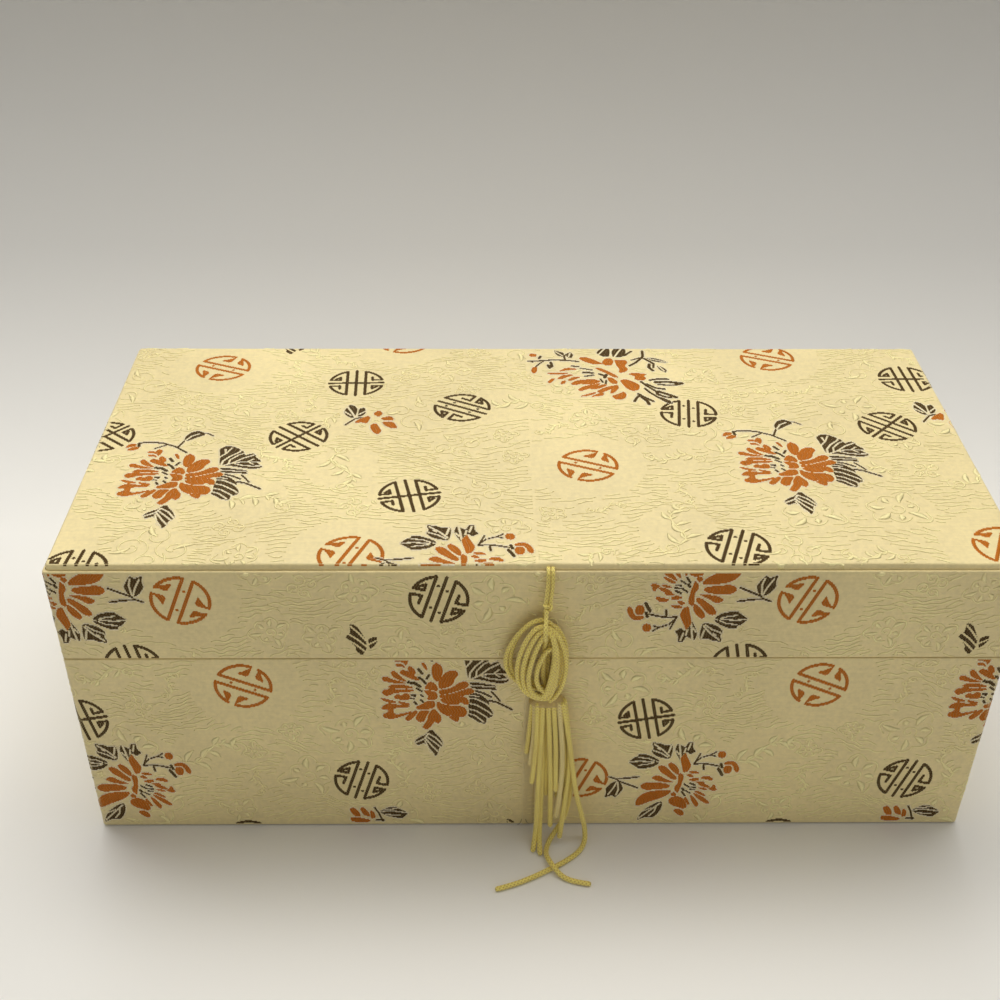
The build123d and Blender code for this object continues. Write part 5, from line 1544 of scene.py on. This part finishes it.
def open_stretches(stroke, limits, cells):
    """Stretches of a stroke that lie within the limits and on no covered cell."""
    x, y = stroke[:, 0], stroke[:, 1]
    column = ((x - limits[0]) / CELL).astype(int) + 1
    row = ((y - limits[2]) / CELL).astype(int) + 1
    inside = (x > limits[0]) & (x < limits[1]) & (y > limits[2]) & (y < limits[3])
    row, column = np.clip(row, 0, cells.shape[0] - 1), np.clip(column, 0, cells.shape[1] - 1)
    return cut(stroke, inside & ~cells[row, column])


def damask_repeats(cloth):
    """Strokes and width of one repeat for the base, the lid's walls and the panel."""
    panel_plain = [(x / PANEL_STRETCH, y) for figure, x, y in PANEL_FIGURES if figure.thread == "orange"]
    repeats = {
        "base": (cloth.base_repeat / MM, BASE_PLAIN, 7), "lid": (cloth.lid_repeat / MM, LID_PLAIN, 5),
        "panel": (PANEL_WIDTH / PANEL_STRETCH, panel_plain, 11),
    }
    return {name: (damask_strokes(*values), values[0]) for name, values in repeats.items()}


def add_figures():
    """Orange, dark and cream figuring threads on every outer surface, and the damask floats between them."""
    cloth, _, colours = settings()
    damask, masks = damask_repeats(cloth), {}
    for name, body, place, figures, stretch, limits, repeats in cloth_parts():
        flat = place is on_panel
        kind = "panel_" if flat else "wall_"
        period = cloth.base_repeat if body == "base" else cloth.lid_repeat
        found = figure_runs(figures, stretch, limits, repeats, period, cloth, masks)
        for thread, runs in found.items():
            if not len(runs):
                continue
            runs = split_runs(runs, 2.4 * MM if flat else 1.2 * MM)
            lift, gloss = (cloth.figure_lift * 1.25, 0.3) if thread == "cream" else (cloth.figure_lift, 0.12)
            piece = f"{name}_{thread}_figures"
            material = cloth_material(
                f"{kind}{thread}_thread", getattr(colours, thread), flat, 0.5 * MM, 1.4, 0.0, (0.5, 0.68), gloss,
            )
            mesh = thread_mesh(piece, runs, place, cloth.pick * 0.8, lift, THREAD_SINK)
            add_piece(piece, mesh, material, body)
        strokes, width = damask["panel" if flat else body]
        cells = covered_cells(found, limits)
        strokes = [
            part for stroke in tiled(strokes, width, limits, stretch)
            for part in open_stretches(stroke, limits, cells)
        ]
        mesh = stroke_mesh(name + "_damask", strokes, place, cloth.float_width / 2, cloth.float_lift, FLOAT_SINK)
        material = cloth_material(
            kind + "damask_float", colours.float_thread, flat, 0.5 * MM, 0.5, 0.05, (0.38, 0.52), 0.4,
        )
        add_piece(name + "_damask", mesh, material, body)


# Cloth pieces

# Shares across the lap's strip and its lift there, in millimetres
LAP_SHARES = np.array([0.0, 0.0, 0.05, 0.12, 0.3, 0.6, 0.85, 1.0, 1.0])
LAP_LIFTS = np.array([-0.05, 0.12, 0.24, 0.26, 0.22, 0.12, 0.05, 0.01, -0.05])
LAP_END = 0.7 * MM
# Place, reach and lean of each loose thread, in millimetres
LOOSE_THREADS = ((-4.2, 4.5, -1.6), (-2.4, 3.2, 1.2), (0.9, 5.2, 2.0))


def add_wraps():
    """Brocade ground on the glued wraps, the lapped edge at the front with its painted shade, and its loose threads.
    """
    _, _, colours = settings()
    ground = cloth_material("wall_ground", colours.ground)
    for node in ("base_brocade_wrap", "lid_brocade_wrap"):
        dress(frame["nodes"][node].data, ground)
    z = np.linspace(BASE_LOW[2] + 0.35 * MM, BASE_HIGH[2] - 0.5 * MM, 120)[:, None]
    edge = (-4.0 + 0.10 * np.sin(z * 170) + 0.07 * np.sin(z * 430 + 1)) * MM
    points = surface(edge + (LAP_END - edge) * LAP_SHARES, -HALF_DEPTH - LAP_LIFTS * MM, z).reshape(-1, 3)
    rows, columns = len(z), len(LAP_SHARES)
    top = (rows - 1) * columns
    faces = np.concatenate([
        triangles(grid_faces(rows, columns, True)),
        *([[0, k, k + 1], [top, top + k + 1, top + k]] for k in range(1, columns - 1)),
    ])
    # Painted shade: the lap's strip is the ground darkened by a tenth, standing in for the shade of the fold at the
    # overlapping edge.
    lap_painted_shade = cloth_material("wall_lap", tinted(colours.ground, 0.9))
    add_piece("front_lap", fill_mesh("front_lap", points, faces), lap_painted_shade, "base")
    dark = cord_material("loose_thread", colours.dark, 0.6 * MM, 2.0)
    share = np.linspace(0, 1, 18)
    for number, (x, reach, lean) in enumerate(LOOSE_THREADS):
        line = np.stack([
            x + lean * share**2, -HALF_DEPTH / MM - 0.25 - 0.9 * np.sin(pi * share * 0.8),
            3.6 - reach * 0.55 * share + 0.3 * np.sin(4 * share),
        ], -1) * MM
        name = f"loose_thread_{number + 1}"
        add_piece(name, tube_mesh(name, line, 0.09 * MM, 6, (1, 0, 0)), dark, "base")


# Distances from the panel's border at which its grid has rows, in millimetres
PANEL_ROWS = np.array([0.0, 0.02, 0.08, 0.2, 0.4, 0.7, 1.1, 1.6, 2.1, 2.8, 4.0, 6.0, 9.0])


def panel_ticks(half):
    """Grid places across the panel: close together at both borders, even between."""
    near = PANEL_ROWS * MM
    middle = np.linspace(near[-1] - half, half - near[-1], int((half - near[-1]) * 2 / (2.2 * MM)))
    return np.concatenate([-half + near[:-1], middle, (half - near[:-1])[::-1]])


def add_top_panel():
    """Padded cover panel: its height function on a grid that is fine at the border, closed underneath.
    In the corners the grid's squares are drawn in to circles."""
    x, y = np.meshgrid(panel_ticks(PANEL_HIGH[0]), panel_ticks(PANEL_HIGH[1]))
    beyond_x, beyond_y = beyond_corner(x, y)
    reach = np.hypot(np.maximum(beyond_x, 0), np.maximum(beyond_y, 0))
    square = np.maximum(np.maximum(beyond_x, beyond_y), 0)
    pull = np.where((beyond_x > 0) & (beyond_y > 0), square / np.maximum(reach, 1e-9), 1.0)
    x, y = (
        np.where(pull < 1, np.sign(v) * (high - PANEL_PLAN_RADIUS + beyond * pull), v)
        for v, high, beyond in ((x, PANEL_HIGH[0], beyond_x), (y, PANEL_HIGH[1], beyond_y))
    )
    tuck = 1 - 0.5 * MM / PANEL_HIGH[0]
    top, under = surface(x, y, panel_height(x, y)), surface(x * tuck, y * tuck, PANEL_LOW[2] + 0.01 * MM)
    ground = cloth_material("panel_ground", settings()[2].ground, True)
    mesh = closed_sheet("top_panel", top, under)
    add_piece("top_panel", mesh, ground, "lid", ["lid_top_panel"])


def leaf_sheet(name, nodes, material, bend):
    """Cloth hinge leaf: one thin closed sheet over both CAD leaves, with many rows where it bends."""
    lows, highs = zip(*(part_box(node) for node in nodes))
    low, high = np.min(lows, axis=0), np.max(highs, axis=0)
    start, end = HINGE_HEIGHT - bend, HINGE_HEIGHT + bend
    z = np.concatenate([
        np.linspace(low[2], start, 8), np.linspace(start, end, 26)[1:-1], np.linspace(end, high[2], 8),
    ])[:, None]
    shift = np.interp(z, (start, end), (0, lows[1][1] - lows[0][1]))
    x = np.linspace(low[0], high[0], 90)
    ripple = 0.04 * MM * np.sin(x * 90) * np.exp(-((z - HINGE_HEIGHT) / (4 * MM)) ** 2)
    inner, outer = (surface(x, y + shift + ripple, z) for y in (lows[0][1], highs[0][1]))
    piece = add_piece(name, closed_sheet(name, inner, outer), material, None, nodes)
    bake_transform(piece)


def add_hinge():
    """Brocade leaf outside and satin leaf inside, each bending from base to lid."""
    colours = settings()[2]
    ground, satin = cloth_material("wall_ground", colours.ground), satin_material("satin", colours.satin)
    for name, material, slot, bend in (
        ("hinge_brocade", ground, "brocade", 1.4 * MM), ("hinge_satin", satin, "lining_satin", 1.2 * MM),
    ):
        leaf_sheet(name, (name + "_base_leaf", name + "_lid_leaf"), material, bend)


# Inside

CUSHION_VOXEL = 5.0 * MM
CUSHION_FRAMES = 20
CUSHION_PRESSURE = 4.0
CUSHION_CAP = 1.6 * MM
CUSHION_TALL = 3.0
CUSHION_SHRINK = (1.6 * MM, 1.6 * MM, 0.9 * MM)
SEAT_BAND = 1.5 * MM
PUCKER = 0.35 * MM


def apply_all(piece):
    """Puts the result of a piece's modifiers into its mesh."""
    view = bpy.context.evaluated_depsgraph_get()
    mesh = bpy.data.meshes.new_from_object(piece.evaluated_get(view))
    piece.modifiers.clear()
    piece.data = mesh


def puffed(node, name, body, material):
    """Cushion from a CAD pad: a slightly smaller copy, drawn out in height meanwhile, is remeshed evenly,
    then blown up by a cloth simulation. Each point's movement is capped and one subdivision smooths the result."""
    low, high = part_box(node)
    centre, half = np.array((low + high) / 2), np.array((high - low) / 2)
    drawn_out = np.array([1.0, 1.0, CUSHION_TALL])
    mesh = frame["nodes"][node].data.copy()
    co = centre + (vertex_places(mesh) - centre) * (1 - np.array(CUSHION_SHRINK) / half) * drawn_out
    mesh.vertices.foreach_set("co", co.ravel())
    piece = add_object(name, mesh)
    bpy.context.view_layer.objects.active = piece
    piece.modifiers.new("weld", "WELD").merge_threshold = 0.05 * MM
    remesh = piece.modifiers.new("remesh", "REMESH")
    remesh.mode = "VOXEL"
    remesh.voxel_size = CUSHION_VOXEL * 1.0
    apply_all(piece)
    start = centre + (vertex_places(piece.data) - centre) / drawn_out
    piece.data.vertices.foreach_set("co", start.ravel())
    cloth = piece.modifiers.new("cloth", "CLOTH")
    cloth.settings.use_pressure = True
    cloth.settings.uniform_pressure_force = CUSHION_PRESSURE
    cloth.settings.effector_weights.gravity = 0
    scene = bpy.context.scene
    for number in range(1, CUSHION_FRAMES + 1):
        scene.frame_set(number)
    apply_all(piece)
    scene.frame_set(1)
    moved = vertex_places(piece.data) - start
    moved *= np.minimum(1, CUSHION_CAP / np.maximum(np.linalg.norm(moved, axis=1), 1e-9))[:, None]
    places = start + moved
    seat = low[2] if body == "base" else high[2]
    flat = np.abs(start[:, 2] - seat) < SEAT_BAND
    places[flat, 2] = start[flat, 2]
    edge = np.minimum(half[0] - np.abs(places[:, 0]), half[1] - np.abs(places[:, 1]))
    pucker = PUCKER * np.exp(-edge / (9 * MM)) * np.sin((places[:, 0] + places[:, 1]) * 420)
    places[:, 2] += np.where(flat, 0, pucker)
    piece.data.vertices.foreach_set("co", places.ravel())
    smooth = piece.modifiers.new("smooth", "SUBSURF")
    smooth.levels = smooth.render_levels = 1
    apply_all(piece)
    dress(piece.data, material)
    piece.data.polygons.foreach_set("use_smooth", np.ones(len(piece.data.polygons), dtype=bool))
    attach(piece, body)
    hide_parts(node)


def add_linings():
    """Satin linings and cushions, card and paper."""
    colours = settings()[2]
    satin = satin_material("satin", colours.satin)
    padded = satin_material("padded_satin", tinted(colours.satin, 1.06))
    card = fibre_material("card", colours.card, (300.0, 300.0, 300.0), (0.7, 0.9))
    paper = fibre_material("paper", colours.paper, (500.0, 120.0, 500.0), (0.6, 0.8))
    for name, node in frame["nodes"].items():
        if name.endswith("_board"):
            dress(node.data, card)
        elif "_lining_" in name:
            dress(node.data, satin)
    dress(frame["nodes"]["base_underside_sheet"].data, paper)
    puffed("base_floor_pad", "floor_cushion", "base", padded)
    puffed("lid_ceiling_pad", "ceiling_cushion", "lid", padded)


# Operators and panel

class BROCADEBOX_OT_camera(bpy.types.Operator):
    """Set the camera at the photograph's place"""

    bl_idname = "brocadebox.camera"
    bl_label = "Camera"

    def execute(self, context):
        add_camera()
        return {"FINISHED"}


class BROCADEBOX_OT_tassel(bpy.types.Operator):
    """Make the hanging cord, knot, hank, binding and fringe"""

    bl_idname = "brocadebox.tassel"
    bl_label = "Tassel"

    def execute(self, context):
        add_tassel()
        return {"FINISHED"}


class BROCADEBOX_OT_stage(bpy.types.Operator):
    """Make the table, backdrop and lamps"""

    bl_idname = "brocadebox.stage"
    bl_label = "Stage"

    def execute(self, context):
        add_stage()
        return {"FINISHED"}


class BROCADEBOX_OT_wraps(bpy.types.Operator):
    """Dress the glued brocade wraps"""

    bl_idname = "brocadebox.wraps"
    bl_label = "Brocade wraps"

    def execute(self, context):
        add_wraps()
        return {"FINISHED"}


class BROCADEBOX_OT_top_panel(bpy.types.Operator):
    """Make the padded panel on the lid"""

    bl_idname = "brocadebox.top_panel"
    bl_label = "Top panel"

    def execute(self, context):
        add_top_panel()
        return {"FINISHED"}


class BROCADEBOX_OT_figures(bpy.types.Operator):
    """Weave the peonies, the medallions and the damask ground"""

    bl_idname = "brocadebox.figures"
    bl_label = "Woven figures"

    def execute(self, context):
        add_figures()
        return {"FINISHED"}


class BROCADEBOX_OT_hinge(bpy.types.Operator):
    """Make the two cloth hinge leaves"""

    bl_idname = "brocadebox.hinge"
    bl_label = "Cloth hinge"

    def execute(self, context):
        add_hinge()
        return {"FINISHED"}


class BROCADEBOX_OT_linings(bpy.types.Operator):
    """Dress the linings, boards and paper, and make the cushions"""

    bl_idname = "brocadebox.linings"
    bl_label = "Linings and cushions"

    def execute(self, context):
        add_linings()
        return {"FINISHED"}


OPERATORS = (
    BROCADEBOX_OT_camera, BROCADEBOX_OT_tassel, BROCADEBOX_OT_stage, BROCADEBOX_OT_wraps,
    BROCADEBOX_OT_top_panel, BROCADEBOX_OT_figures, BROCADEBOX_OT_hinge,
    BROCADEBOX_OT_linings,
)


class BROCADEBOX_PT_panel(bpy.types.Panel):
    """Lists the box's makers and their sizes and colours"""

    bl_label = "Brocade Box"
    bl_space_type = "VIEW_3D"
    bl_region_type = "UI"
    bl_category = "Brocade Box"

    def draw(self, context):
        for operator in OPERATORS:
            self.layout.operator(operator.bl_idname)
        for group in settings():
            box = self.layout.box()
            for name in group.bl_rna.properties.keys():
                if name not in ("name", "rna_type"):
                    box.prop(group, name)


CLASSES = (*GROUPS.values(), *OPERATORS, BROCADEBOX_PT_panel)


def register():
    """Adds the classes and the scene's property groups."""
    for item in CLASSES:
        bpy.utils.register_class(item)
    for name, group in GROUPS.items():
        setattr(bpy.types.Scene, name, PointerProperty(type=group))


def unregister():
    """Takes them away again."""
    for name in GROUPS:
        delattr(bpy.types.Scene, name)
    for item in reversed(CLASSES):
        bpy.utils.unregister_class(item)


def main():
    """Registers the add-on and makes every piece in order."""
    register()
    for operator in OPERATORS:
        group, name = operator.bl_idname.split(".")
        getattr(getattr(bpy.ops, group), name)()


if __name__ == "__main__":
    main()
